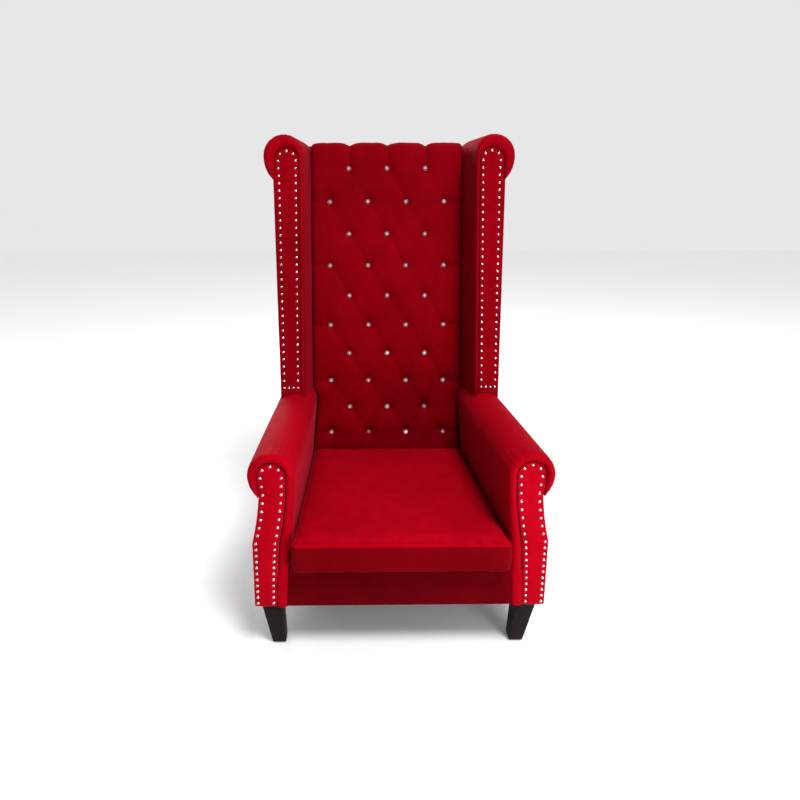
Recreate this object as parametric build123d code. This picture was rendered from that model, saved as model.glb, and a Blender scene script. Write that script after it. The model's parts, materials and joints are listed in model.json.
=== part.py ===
"""High wing-back throne armchair in tufted velvet, built as its maker builds it.

A hardwood frame stands on four square tapered legs. Rolled arms and tall rolled wings carry padded
covers with nailed front bands, the inside back is button tufted, and a loose cushion lies on a sprung deck.
Millimetres; +Z up, the chair faces -Y, and the origin is on the floor under the middle of its box.
Right-hand pieces have positive X; "left" and "right" are as seen by someone facing the chair.
"""
from build123d import *
import math
import os

# ---- Overall
overall_depth = 944.0        # cushion nose to the back's rear face at its top
back_top_z = 1484.0          # top edge of the inside back
back_rake = 0.155            # how far the back leans, per unit of height
leg_height = 160.0           # floor to the underside of the frame
frame_bottom_z = leg_height

# ---- Arms: a front outline drawn out towards the back
arm_overhang = 48.0          # the cushion stands this far in front of the arms
arm_splay = 0.035            # the arms close in towards the back, per unit of depth
arm_roll_x = 353.0
arm_roll_z = 557.0
arm_roll_r = 65.0
arm_inner_bottom_x = 319.0
arm_neck = (388.0, 498.0)
arm_belly = (411.0, 357.0)
arm_band_bottom_x = 347.0    # inner edge of the nailed band at the floor end
arm_band_mid = (337.0, 357.0)
arm_band_neck = (316.0, 500.0)
arm_band_r = 39.0            # round top of the nailed band

# ---- Wings: a front outline drawn back to the rear of the chair
wing_depth = 152.0           # the wings stand this far in front of the tufted face
wing_splay = 0.10            # the wings close in towards the back, per unit of depth
wing_inner_x = 296.0
wing_outer_bottom_x = 381.0
wing_neck_x = 397.0
wing_neck_drop = 84.0        # roll's centre down to the neck
wing_roll_x = 364.0
wing_roll_drop = 48.0        # back's top edge down to the roll's centre
wing_roll_r = 68.0
wing_band_inner_x = 311.0
wing_band_top_x = 352.0
wing_band_rise = 22.0        # roll's centre up to the band's round top
wing_band_outer_x = 392.0
wing_band_shoulder_drop = 12.0

# ---- Upholstery layers
band_recess = 4.0            # the nailed band lies behind the padded rim
band_thickness = 10.0
board_thickness = 18.0       # plywood facing behind each band
skin_thickness = 5.0         # outside panels: stiff backing and velvet
apron_thickness = 13.0
cover_thickness = 16.0       # tufted velvet and wadding
foam_thickness = 32.0
webbing_thickness = 2.0
outside_back_thickness = 6.0
rear_gap = 2.0               # posts to the outside back
layer_gap = 0.5              # between neighbouring upholstered pieces

# ---- Frame timber
rail_thickness = 25.0
rail_height = 90.0
post_width = 35.0
post_depth = 38.0
post_inner_x = 317.0
back_rail_depth = 30.0
back_rail_height = 60.0
lower_rail_rise = 50.0       # seat rail up to the lower back rail
top_rail_height = 70.0
top_rail_drop = 20.0         # back's top edge down to the top rail
corner_block_reach = 95.0
corner_block_height = 45.0
arm_rail_size = (50.0, 28.0)
wing_rail_size = (40.0, 28.0)
wing_board_thickness = 12.0
side_rail_inner_x = 354.0

# ---- Seat
back_arm_gap = 3.0           # tufted back to the arm rolls
back_wing_gap = 6.8          # and to the wings' inner faces
back_widening = 1.0          # half width gained from above the arms to the top edge
back_step = 14.0             # height over which it widens past the arm rolls
cushion_side_gap = 5.9
cushion_deck_gap = 3.0
cushion_thickness = 105.0    # at its crowned middle
cushion_crown = 5.0          # middle over the top edge
cushion_rear_gap = 4.0
cushion_round = 18.0
cushion_skin = 3.0
deck_pad_thickness = 26.0
deck_cloth = 2.0
deck_clearance = 2.0         # deck to the pieces round it
dust_thickness = 1.5
spring_wire_r = 1.8
spring_count = 5
spring_pitch = 33.0
spring_half_width = 22.0
spring_bend_r = 12.0
front_clip_inset = 13.75     # front rail's front face to the clips' middle
rear_clip_inset = 13.5
clip_size = (16.0, 14.0, 6.0)
spring_margin = 60.0         # outer springs' middle to the arms, about
zipper_inset = 30.0
zipper_size = (1.5, 12.0)

# ---- Legs and their hardware
leg_top_size = 60.0
leg_foot_size = 40.0
front_leg_top = (366.0, 52.0)      # centre: from the middle, from the arm fronts
front_leg_foot = (351.0, 72.0)
rear_leg_top_x = 334.5
rear_leg_foot_x = 326.0
rear_leg_kick = 34.0               # the rear feet stand back by this much
glide_r = 11.0
glide_height = 4.0
bolt_r = 4.0
bolt_length = 70.0

# ---- Tufting
button_rows = 10
button_top_drop = 85.0       # back's top edge down to the first row
button_low_rise = 44.5       # seat's top up to the last row
button_pitch_drop = 3.0      # each further row is closer by this much
button_pitch_x = 140.0
crystal_r = 7.5
crystal_height = 4.5
cup_r = 9.0
cup_height = 3.0
button_seat_v = 12.0         # rear of the cup, behind the tufted face
twine_r = 0.8
twine_hole_r = 3.0
strap_width = 50.0
strap_low_rise = 16.0        # deck up to the straps' lower ends
strap_top_drop = 30.0

# ---- Nails
nail_r = 4.8
nail_dome = 3.0
nail_shank_r = 1.0
nail_shank = 9.0
nail_inset = 10.0            # row to the band's edge
wing_nail_pitch = 25.0
wing_foot_nail_pitch = 17.0
wing_foot_nail_rise = 22.0   # arm's top up to the row across the wing's foot
arm_nail_pitch = 25.0
arm_low_nail_pitch = 18.0    # closer together below the belly

# ---- Derived places
rail_top_z = frame_bottom_z + rail_height
deck_bottom_z = rail_top_z + clip_size[2]
deck_top_z = deck_bottom_z + deck_cloth + deck_pad_thickness
cushion_bottom_z = deck_top_z + cushion_deck_gap
cushion_top_z = cushion_bottom_z + cushion_thickness
seat_top_z = cushion_top_z - cushion_crown
frame_v = cover_thickness + foam_thickness + webbing_thickness
rear_v = frame_v + post_depth + rear_gap
back_thickness = rear_v + outside_back_thickness
half_depth = overall_depth / 2
arm_front_y = arm_overhang - half_depth
back_face_y = half_depth - back_thickness - back_rake * (back_top_z - seat_top_z)
board_y = arm_front_y + band_recess + band_thickness
board_v = band_recess + band_thickness - wing_depth
wing_roll_z = back_top_z - wing_roll_drop
wing_neck = (wing_neck_x, wing_roll_z - wing_neck_drop)
wing_band_top_z = wing_roll_z + wing_band_rise
wing_band_shoulder_z = wing_roll_z - wing_band_shoulder_drop
button_top_z = back_top_z - button_top_drop
button_span = button_top_z - seat_top_z - button_low_rise
button_gain = button_pitch_drop * (button_rows - 1) * (button_rows - 2) / 2
button_pitch_top = (button_span + button_gain) / (button_rows - 1)
rake_degrees = math.degrees(math.atan(back_rake))
far = 1500.0


def back_y(z):
    """The tufted face's Y at a height."""
    return back_face_y + back_rake * (z - seat_top_z)


def arm_inner_x(z):
    """The arm's inner face at the arm fronts, below its roll."""
    share = (arm_roll_z - z) / (arm_roll_z - frame_bottom_z)
    return arm_roll_x - arm_roll_r + share * (arm_inner_bottom_x - arm_roll_x + arm_roll_r)


def arm_shift(y):
    """How far the splayed arms have closed in at a depth."""
    return arm_splay * (y - arm_front_y)


def wing_x(x, z):
    """Keeps a wing width the same along the leaning front, where the splay would widen it."""
    return x - wing_splay * back_rake * (wing_roll_z - z)


cushion_half_front = arm_inner_x(cushion_top_z) - cushion_side_gap
back_half_low = arm_roll_x - arm_roll_r - arm_shift(back_y(arm_roll_z)) - back_arm_gap
back_half_top = wing_inner_x - wing_splay * wing_depth - back_wing_gap
back_half_mid = back_half_top - back_widening


# ---- Small makers
def front_view(*edges):
    """A face in the front view (X, Z) from connected edges."""
    return Plane.XZ * make_face(Wire(edges))


def front_polygon(*points):
    return Plane.XZ * make_face(Polyline(*points, close=True))


def drawn_back(face, splay, y_from, y_to):
    """Draws a right-hand front-view outline back along the splayed direction."""
    start = face.moved(Location((-splay * (y_from - arm_front_y), y_from, 0)))
    run = y_to - y_from
    return extrude(start, amount=run * math.hypot(1, splay), dir=(-splay, 1, 0))


def raked_space(v_from, v_to, z_from=-far, z_to=far * 2):
    """Everything between two planes that lean with the back."""
    corners = (
        (back_y(z_from) + v_from, z_from),
        (back_y(z_to) + v_from, z_to),
        (back_y(z_to) + v_to, z_to),
        (back_y(z_from) + v_to, z_from),
    )
    outline = Plane.YZ * make_face(Polyline(*corners, close=True))
    return extrude(outline, amount=far, both=True)


def raked(face, v_from, v_to):
    """A front-view outline made solid between two planes that lean with the back."""
    return extrude(face, amount=far, both=True) & raked_space(v_from, v_to)


def wing_drawn(face, v_from, v_to):
    """A right-hand wing outline, drawn back and splayed, between two leaning planes."""
    front_y = back_y(frame_bottom_z) - wing_depth
    start = face.moved(Location((wing_splay * (wing_front_y() - front_y), front_y, 0)))
    long_run = extrude(start, amount=far, dir=(-wing_splay, 1, 0))
    return long_run & raked_space(v_from, v_to)


def wing_front_y():
    """Depth at which the wing outline has its stated widths: the front of the roll."""
    return back_y(wing_roll_z) - wing_depth


def block(x_from, x_to, y_from, y_to, z_from, z_to):
    size = (x_to - x_from, y_to - y_from, z_to - z_from)
    return Pos((x_from + x_to) / 2, (y_from + y_to) / 2, (z_from + z_to) / 2) * Box(*size)


def other_side(shape):
    return mirror(shape, about=Plane.YZ)


def solids_of(shape):
    return Compound(children=[Solid(s.wrapped) for s in shape.solids()])


def save(name, shape):
    found = shape.solids()
    if not found:
        raise ValueError(name + " has no solid")
    export_step(found[0] if len(found) == 1 else solids_of(shape), "parts/" + name + ".step")
    print(name, len(found), round(sum(s.volume for s in found) / 1000), "cm3")


def save_pair(name, right_shape):
    save(name + "_right", right_shape)
    save(name + "_left", other_side(right_shape))


# ---- Outlines, right-hand side
def arm_outline(inset=0.0):
    """The whole arm's front outline, or the same a little smaller."""
    r = arm_roll_r - inset
    inner = (arm_roll_x - r, arm_roll_z)
    top = (arm_roll_x, arm_roll_z + r)
    outer = (arm_roll_x + r, arm_roll_z)
    neck = (arm_neck[0] - inset, arm_neck[1])
    under = (arm_roll_x + r * 0.86, (arm_roll_z + arm_neck[1]) / 2 - 6)
    belly = (arm_belly[0] - inset, arm_belly[1])
    waist = ((neck[0] + belly[0]) / 2 - 3, (neck[1] + belly[1]) / 2)
    foot_outer = (belly[0], frame_bottom_z)
    foot_inner = (arm_inner_bottom_x + inset, frame_bottom_z)
    return front_view(
        Line(foot_inner, inner),
        ThreePointArc(inner, top, outer),
        ThreePointArc(outer, under, neck),
        ThreePointArc(neck, waist, belly),
        Line(belly, foot_outer),
        Line(foot_outer, foot_inner),
    )


def arm_band_outline(inset=0.0):
    """The nailed band: inside the roll above, and out past the arm's outer face below."""
    r = arm_band_r - inset
    bottom = (arm_band_bottom_x + inset, frame_bottom_z)
    mid = (arm_band_mid[0] + inset, arm_band_mid[1])
    low = ((bottom[0] + mid[0]) / 2 + 2, (bottom[1] + mid[1]) / 2)
    neck = (arm_band_neck[0] + inset, arm_band_neck[1])
    waist = ((mid[0] + neck[0]) / 2 - 2, (mid[1] + neck[1]) / 2)
    left = (arm_roll_x - r, arm_roll_z)
    top = (arm_roll_x, arm_roll_z + r)
    right = (arm_roll_x + r, arm_roll_z)
    turn = (arm_neck[0] - inset, arm_neck[1] + 4)
    beyond = (arm_belly[0] + 40, arm_neck[1] - 8)
    corner = (arm_belly[0] + 40, frame_bottom_z)
    return front_view(
        ThreePointArc(bottom, low, mid),
        ThreePointArc(mid, waist, neck),
        Line(neck, left),
        ThreePointArc(left, top, right),
        Line(right, turn),
        Line(turn, beyond),
        Line(beyond, corner),
        Line(corner, bottom),
    )


def wing_outline(inset=0.0):
    """The whole wing's front outline; its foot is inside the arm's roll."""
    r = wing_roll_r - inset
    foot_z = arm_roll_z
    foot_inner = (wing_x(wing_inner_x + inset, foot_z), foot_z)
    inner = (wing_roll_x - r, wing_roll_z)
    top = (wing_roll_x, wing_roll_z + r)
    outer = (wing_roll_x + r, wing_roll_z)
    under = (wing_roll_x + r * 0.87, (wing_roll_z + wing_neck[1]) / 2 - 5)
    neck = (wing_neck[0] - inset, wing_neck[1])
    foot_outer = (wing_x(wing_outer_bottom_x - inset, foot_z), foot_z)
    return front_view(
        Line(foot_inner, inner),
        ThreePointArc(inner, top, outer),
        ThreePointArc(outer, under, neck),
        Line(neck, foot_outer),
        Line(foot_outer, foot_inner),
    )


def wing_band_outline(inset=0.0):
    """The wing's nailed band, rounded at the top and open to the outer face below the roll."""
    foot_z = arm_roll_z - 20
    foot = (wing_x(wing_band_inner_x + inset, foot_z), foot_z)
    left = (wing_band_inner_x + inset, wing_band_shoulder_z)
    top = (wing_band_top_x, wing_band_top_z - inset)
    right = (wing_band_outer_x - inset, wing_band_shoulder_z)
    turn = (wing_neck[0] - 6 - inset, wing_neck[1] + 6)
    beyond = (wing_neck[0] + 40, wing_neck[1] - 6)
    return front_view(
        Line(foot, left),
        ThreePointArc(left, top, right),
        Line(right, turn),
        Line(turn, beyond),
        Line(beyond, (beyond[0], foot_z)),
        Line((beyond[0], foot_z), foot),
    )


# ---- Frame
def make_posts():
    outline = front_polygon(
        (post_inner_x, frame_bottom_z),
        (post_inner_x + post_width, frame_bottom_z),
        (post_inner_x + post_width, wing_roll_z - wing_rail_size[1] / 2),
        (post_inner_x, wing_roll_z - wing_rail_size[1] / 2),
    )
    return raked(outline, frame_v, frame_v + post_depth)


def make_cross_rail(z_from, z_to):
    outline = front_polygon(
        (-post_inner_x, z_from), (post_inner_x, z_from), (post_inner_x, z_to), (-post_inner_x, z_to)
    )
    return raked(outline, frame_v, frame_v + back_rail_depth)


def make_side_rail():
    outline = front_polygon(
        (side_rail_inner_x, frame_bottom_z),
        (side_rail_inner_x + rail_thickness, frame_bottom_z),
        (side_rail_inner_x + rail_thickness, rail_top_z),
        (side_rail_inner_x, rail_top_z),
    )
    start_y = board_y + board_thickness
    long_rail = drawn_back(outline, arm_splay, start_y, half_depth)
    return long_rail & raked_space(-far, frame_v)


def make_front_rail():
    x = arm_band_bottom_x - layer_gap
    return block(-x, x, board_y, board_y + rail_thickness, frame_bottom_z, rail_top_z)


def make_arm_rail():
    half_w = arm_rail_size[0] / 2
    half_h = arm_rail_size[1] / 2
    outline = front_polygon(
        (arm_roll_x - half_w, arm_roll_z - half_h),
        (arm_roll_x + half_w, arm_roll_z - half_h),
        (arm_roll_x + half_w, arm_roll_z + half_h),
        (arm_roll_x - half_w, arm_roll_z + half_h),
    )
    start_y = board_y + board_thickness
    return drawn_back(outline, arm_splay, start_y, half_depth) & raked_space(-far, frame_v)


def make_wing_rail():
    half_w = wing_rail_size[0] / 2
    half_h = wing_rail_size[1] / 2
    outline = front_polygon(
        (wing_roll_x - half_w, wing_roll_z - half_h),
        (wing_roll_x + half_w, wing_roll_z - half_h),
        (wing_roll_x + half_w, wing_roll_z + half_h),
        (wing_roll_x - half_w, wing_roll_z + half_h),
    )
    return wing_drawn(outline, board_v + board_thickness, frame_v + post_depth)


def make_wing_side_board():
    """Plywood stiffener between the wing's front facing and the back post."""
    x = wing_band_inner_x + 18
    foot_z = arm_roll_z + arm_roll_r
    top_z = wing_roll_z - wing_rail_size[1] / 2
    outline = front_polygon(
        (wing_x(x, foot_z), foot_z),
        (wing_x(x + wing_board_thickness, foot_z), foot_z),
        (wing_x(x + wing_board_thickness, top_z), top_z),
        (wing_x(x, top_z), top_z),
    )
    return wing_drawn(outline, board_v + board_thickness, frame_v)


def make_corner_blocks(front_rail, rear_rail, side_rail, post):
    """A triangular block glued into each corner of the seat frame."""
    reach = corner_block_reach
    height = corner_block_height
    x_front = side_rail_inner_x - arm_shift(board_y + rail_thickness)
    y_front = board_y + rail_thickness
    front = ((x_front, y_front), (x_front - reach, y_front), (x_front, y_front + reach))
    y_rear = back_y(rail_top_z) + frame_v
    x_rear = side_rail_inner_x - arm_shift(y_rear)
    rear = ((x_rear, y_rear), (x_rear - reach, y_rear), (x_rear, y_rear - reach))
    found = []
    for corners in (front, rear):
        base = Pos(0, 0, rail_top_z - height) * make_face(Polyline(*corners, close=True))
        piece = extrude(base, amount=height, dir=(0, 0, 1))
        piece = piece - [side_rail, front_rail, rear_rail, post]
        piece = piece.solids().sort_by(SortBy.VOLUME)[-1]
        found += [piece, other_side(piece)]
    return Compound(children=found)


# ---- Legs
def make_leg(top_centre, foot_centre):
    top = Pos(*top_centre, leg_height) * Rectangle(leg_top_size, leg_top_size)
    foot = Pos(*foot_centre, glide_height) * Rectangle(leg_foot_size, leg_foot_size)
    return loft([foot.face(), top.face()])


def leg_places():
    front_top = (front_leg_top[0], arm_front_y + front_leg_top[1])
    front_foot = (front_leg_foot[0], arm_front_y + front_leg_foot[1])
    rear_y = back_y(leg_height) + frame_v + post_depth / 2
    return {
        "front_leg": (front_top, front_foot),
        "rear_leg": ((rear_leg_top_x, rear_y), (rear_leg_foot_x, rear_y + rear_leg_kick)),
    }


def make_bolt(centre):
    """A hanger bolt, half in the leg and half in the frame above it."""
    return Pos(*centre, leg_height) * Cylinder(bolt_r, bolt_length)


def make_glide(centre):
    disc = Pos(*centre, glide_height / 2) * Cylinder(glide_r, glide_height)
    return fillet(disc.edges().group_by(Axis.Z)[0], 1.2)


# ---- Seat
def make_spring(x):
    """One sinuous spring, from the front rail to the rear rail."""
    y_from = board_y + front_clip_inset
    y_to = back_y(rail_top_z) + frame_v + rear_clip_inset
    turns = int((y_to - y_from) / spring_pitch)
    step = (y_to - y_from) / turns
    points = [(x - spring_half_width, y_from)]
    for i in range(turns):
        side = spring_half_width if i % 2 == 0 else -spring_half_width
        points += [(x + side, y_from + i * step), (x + side, y_from + (i + 1) * step)]
    last_side = -1 if turns % 2 == 0 else 1
    points.append((x - last_side * spring_half_width, y_to))
    z = rail_top_z + clip_size[2] / 2
    path = Pos(0, 0, z) * FilletPolyline(*points, radius=spring_bend_r)
    ring = Plane(path @ 0, z_dir=path % 0) * Circle(spring_wire_r)
    return sweep(ring, path=path)


def spring_xs():
    gap = 2 * (arm_inner_x(deck_top_z) - spring_margin) / spring_count
    return [gap * (i - (spring_count - 1) / 2) for i in range(spring_count)]


def make_spring_clips(springs):
    front_y = board_y + front_clip_inset
    rear_y = back_y(rail_top_z) + frame_v + rear_clip_inset
    width, depth, height = clip_size
    found = []
    for x, spring in zip(spring_xs(), springs):
        for y in (front_y, rear_y):
            clip = block(x - width / 2, x + width / 2, y - depth / 2, y + depth / 2,
                         rail_top_z, rail_top_z + height)
            found.append((clip - spring).solids().sort_by(SortBy.VOLUME)[-1])
    return Compound(children=found)


def seat_plan(clearance, y_from, y_to, z_from, z_to):
    """A slab in the seat's plan, clear of the splayed arms."""
    x_front = arm_inner_x(z_to) - clearance - arm_shift(y_from)
    x_rear = arm_inner_x(z_to) - clearance - arm_shift(y_to)
    corners = ((-x_front, y_from), (x_front, y_from), (x_rear, y_to), (-x_rear, y_to))
    base = Pos(0, 0, z_from) * make_face(Polyline(*corners, close=True))
    return extrude(base, amount=z_to - z_from, dir=(0, 0, 1))


def make_dust_cover(right_legs):
    """Thin cloth under the whole frame, cut out round the legs."""
    inset = 10.0
    y_from = board_y + inset
    y_to = back_y(frame_bottom_z) + rear_v - inset
    x_front = arm_belly[0] - inset - arm_shift(y_from)
    x_rear = arm_belly[0] - inset - arm_shift(y_to)
    corners = ((-x_front, y_from), (x_front, y_from), (x_rear, y_to), (-x_rear, y_to))
    base = Pos(0, 0, frame_bottom_z - dust_thickness) * make_face(Polyline(*corners, close=True))
    cloth = extrude(base, amount=dust_thickness, dir=(0, 0, 1))
    for leg in right_legs:
        cloth = cloth - leg - other_side(leg)
    return max(cloth.solids(), key=lambda s: s.volume)


def make_apron():
    z_to = deck_top_z
    clear = layer_gap
    outline = front_polygon(
        (-arm_inner_x(frame_bottom_z) + clear, frame_bottom_z),
        (arm_inner_x(frame_bottom_z) - clear, frame_bottom_z),
        (arm_inner_x(z_to) - clear, z_to),
        (-arm_inner_x(z_to) + clear, z_to),
    )
    start = outline.moved(Location((0, arm_front_y, 0)))
    return extrude(start, amount=apron_thickness, dir=(0, 1, 0))


def cushion_block(shrink):
    """The loose cushion: sides parallel to the arms, rear clear of the tufted back."""
    y_front = -half_depth + shrink
    y_rear = back_y(cushion_bottom_z) - cushion_rear_gap - shrink
    x_front = cushion_half_front - shrink
    x_rear = cushion_half_front - arm_splay * (y_rear + half_depth) - shrink
    corners = ((-x_front, y_front), (x_front, y_front), (x_rear, y_rear), (-x_rear, y_rear))
    base = Pos(0, 0, cushion_bottom_z + shrink) * make_face(Polyline(*corners, close=True))
    solid = extrude(base, amount=cushion_top_z - cushion_bottom_z - 2 * shrink, dir=(0, 0, 1))
    return fillet(solid.edges(), cushion_round - shrink)


def make_zipper():
    y_rear = back_y(cushion_bottom_z) - cushion_rear_gap
    z_mid = (cushion_bottom_z + cushion_top_z) / 2
    x = back_half_low - zipper_inset
    depth, height = zipper_size
    return block(-x, x, y_rear, y_rear + depth, z_mid - height / 2, z_mid + height / 2)


# ---- Back
def button_places():
    """(x, z) of every button: rows of three and four, closing up towards the seat."""
    found = []
    for row in range(button_rows):
        z = button_top_z - button_pitch_top * row + button_pitch_drop * row * (row - 1) / 2
        count = 3 if row % 2 == 0 else 4
        found += [((k - (count - 1) / 2) * button_pitch_x, z) for k in range(count)]
    return found


def across_back(x, z, v, shape):
    """Places a shape, made along +Y from the origin, square to the leaning back and v behind its face."""
    return Location((x, back_y(z), z), (-rake_degrees, 0, 0)) * Pos(0, v, 0) * shape


def on_leaning_plane(x, z, v, shape):
    """Places a shape, made along +Y from the origin, on the plane v behind the tufted face, square to it."""
    return Location((x, back_y(z) + v, z), (-rake_degrees, 0, 0)) * shape


def rod(radius, length):
    return Rot(-90, 0, 0) * Cylinder(radius, length, align=(Align.CENTER, Align.CENTER, Align.MIN))


def back_outline(z_from, z_to):
    """The tufted back's front outline: narrow between the arm rolls, wider between the wings."""
    low_z = arm_roll_z + arm_roll_r
    mid_z = low_z + back_step
    points = ((back_half_low, z_from), (back_half_low, low_z), (back_half_mid, mid_z), (back_half_top, z_to))
    return front_polygon(*points, *[(-x, z) for x, z in reversed(points)])


def make_crystal():
    """A faceted glass stone: an eight-sided low cone with a flat top."""
    base = RegularPolygon(crystal_r, 8)
    table = Pos(0, 0, crystal_height) * RegularPolygon(crystal_r * 0.55, 8)
    return Rot(90, 0, 0) * loft([base.face(), table.face()])


def make_back_pieces(wing_pad):
    cover_bottom_z = deck_top_z + 4
    cap_z = back_top_z - cover_thickness
    cap = front_polygon(
        (-back_half_top, cap_z), (back_half_top, cap_z), (back_half_top, back_top_z), (-back_half_top, back_top_z)
    )
    cover = raked(back_outline(cover_bottom_z, back_top_z), 0, cover_thickness)
    cover = cover + raked(cap, 0, rear_v - layer_gap)
    cover = cover - wing_pad - other_side(wing_pad)
    foam = raked(back_outline(cover_bottom_z, cap_z), cover_thickness, cover_thickness + foam_thickness)
    cups, crystals, twines, cover_holes, foam_holes = [], [], [], [], []
    for x, z in button_places():
        cup_v = button_seat_v - cup_height
        twine_run = (cover_thickness + foam_thickness) * math.cos(math.radians(rake_degrees)) - button_seat_v - 0.5
        cups.append(across_back(x, z, cup_v, rod(cup_r, cup_height)))
        crystals.append(across_back(x, z, cup_v, make_crystal()))
        twines.append(across_back(x, z, button_seat_v, rod(twine_r, twine_run)))
        cover_holes.append(across_back(x, z, -20, rod(cup_r + layer_gap, 20 + cover_thickness + 4)))
        foam_holes.append(across_back(x, z, 0, rod(twine_hole_r, frame_v)))
    cover = cover - cover_holes
    foam = foam - foam_holes
    strap_half = strap_width / 2
    strap_low_z = deck_top_z + strap_low_rise
    strap_top_z = cap_z - strap_top_drop
    straps = []
    for column in range(-3, 4):
        x = column * button_pitch_x / 2
        strap = front_polygon(
            (x - strap_half, strap_low_z), (x + strap_half, strap_low_z),
            (x + strap_half, strap_top_z), (x - strap_half, strap_top_z),
        )
        straps.append(raked(strap, cover_thickness + foam_thickness, frame_v))
    save("inside_back_cover", cover)
    save("back_foam", foam)
    save("back_webbing", Compound(children=[s.solid() for s in straps]))
    save("button_cups", Compound(children=[s.solid() for s in cups]))
    save("crystal_buttons", Compound(children=[s.solid() for s in crystals]))
    save("tufting_twines", Compound(children=[s.solid() for s in twines]))


def make_outside_back():
    """The rear panel, inside the ends of the arm and wing rolls."""
    arm_in = 26.0
    wing_in = 29.0
    shoulder_drop = 50.0
    shoulder_in = 36.0
    points = (
        (arm_belly[0] - arm_in, frame_bottom_z),
        (arm_belly[0] - arm_in, arm_belly[1]),
        (arm_neck[0] - arm_in - 4, arm_neck[1]),
        (wing_outer_bottom_x - arm_in, arm_roll_z + arm_roll_r),
        (wing_neck[0] - wing_in, wing_neck[1]),
        (wing_neck[0] - wing_in, back_top_z - shoulder_drop),
        (wing_neck[0] - wing_in - shoulder_in, back_top_z),
    )
    mirrored = [(-x, z) for x, z in reversed(points)]
    return raked(front_polygon(*points, *mirrored), rear_v, back_thickness)


# ---- Nails
def make_nail():
    """A domed head on the band's face and a shank into it, along +Y."""
    sphere_r = (nail_r ** 2 + nail_dome ** 2) / (2 * nail_dome)
    ball = Pos(0, sphere_r - nail_dome, 0) * Sphere(sphere_r)
    head = ball & block(-nail_r * 2, nail_r * 2, -nail_dome * 2, 0, -nail_r * 2, nail_r * 2)
    return head + rod(nail_shank_r, nail_shank)


def spaced(path, pitch):
    """Even places along a path, both ends included."""
    count = max(1, round(path.length / pitch))
    return [path @ (i / count) for i in range(count + 1)]


def arm_nail_path():
    """Up the inner edge of the band, over its round top and down the outer edge, in three stretches."""
    inset = nail_inset
    foot_z = frame_bottom_z + nail_inset
    r = arm_band_r - inset
    mid = (arm_band_mid[0] + inset, arm_band_mid[1])
    neck = (arm_band_neck[0] + inset, arm_band_neck[1])
    bottom = (arm_band_bottom_x + inset, foot_z)
    low = ((bottom[0] + mid[0]) / 2 + 2, (bottom[1] + mid[1]) / 2)
    waist = ((mid[0] + neck[0]) / 2 - 2, (mid[1] + neck[1]) / 2)
    left = (arm_roll_x - r, arm_roll_z)
    top = (arm_roll_x, arm_roll_z + r)
    right = (arm_roll_x + r, arm_roll_z)
    out_neck = (arm_neck[0] - inset - 2, arm_neck[1] + 6)
    out_belly = (arm_belly[0] - inset, arm_belly[1])
    out_waist = ((out_neck[0] + out_belly[0]) / 2 - 4, (out_neck[1] + out_belly[1]) / 2)
    upper = Wire([
        ThreePointArc(mid, waist, neck),
        Line(neck, left),
        ThreePointArc(left, top, right),
        Line(right, out_neck),
        ThreePointArc(out_neck, out_waist, out_belly),
    ])
    outer_low = Wire([Line(out_belly, (out_belly[0], foot_z))])
    return Wire([ThreePointArc(bottom, low, mid)]), upper, outer_low


def wing_nail_path():
    """Round the wing's band, and the short row across its foot."""
    inset = nail_inset
    foot_z = arm_roll_z + arm_roll_r + wing_foot_nail_rise
    left = (wing_band_inner_x + inset, wing_band_shoulder_z)
    top = (wing_band_top_x, wing_band_top_z - inset)
    right = (wing_band_outer_x - inset, wing_band_shoulder_z)
    neck = (wing_neck[0] - 2 * inset, wing_neck[1] + 8)
    foot_outer = (wing_x(wing_outer_bottom_x - inset - 2, foot_z), foot_z)
    foot_inner = (wing_x(wing_band_inner_x + inset, foot_z), foot_z)
    return Wire([
        Line(foot_inner, left),
        ThreePointArc(left, top, right),
        Line(right, neck),
        Line(neck, foot_outer),
    ]), Wire([Line(foot_outer, foot_inner)])


def make_arm_nails():
    y = arm_front_y + band_recess
    nail = make_nail()
    inner_low, upper, outer_low = arm_nail_path()
    places = spaced(inner_low, arm_low_nail_pitch)[:-1] + spaced(upper, arm_nail_pitch)
    places += spaced(outer_low, arm_low_nail_pitch)[1:]
    return Compound(children=[Location((p.X, y, p.Y)) * nail for p in places])


def make_wing_nails():
    nail = make_nail()
    around, across = wing_nail_path()
    places = spaced(around, wing_nail_pitch) + spaced(across, wing_foot_nail_pitch)[1:-1]
    v = band_recess - wing_depth
    found = []
    for p in places:
        x = p.X - wing_splay * (back_y(p.Y) + v - wing_front_y())
        found.append(on_leaning_plane(x, p.Y, v, nail))
    return Compound(children=found)


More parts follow.
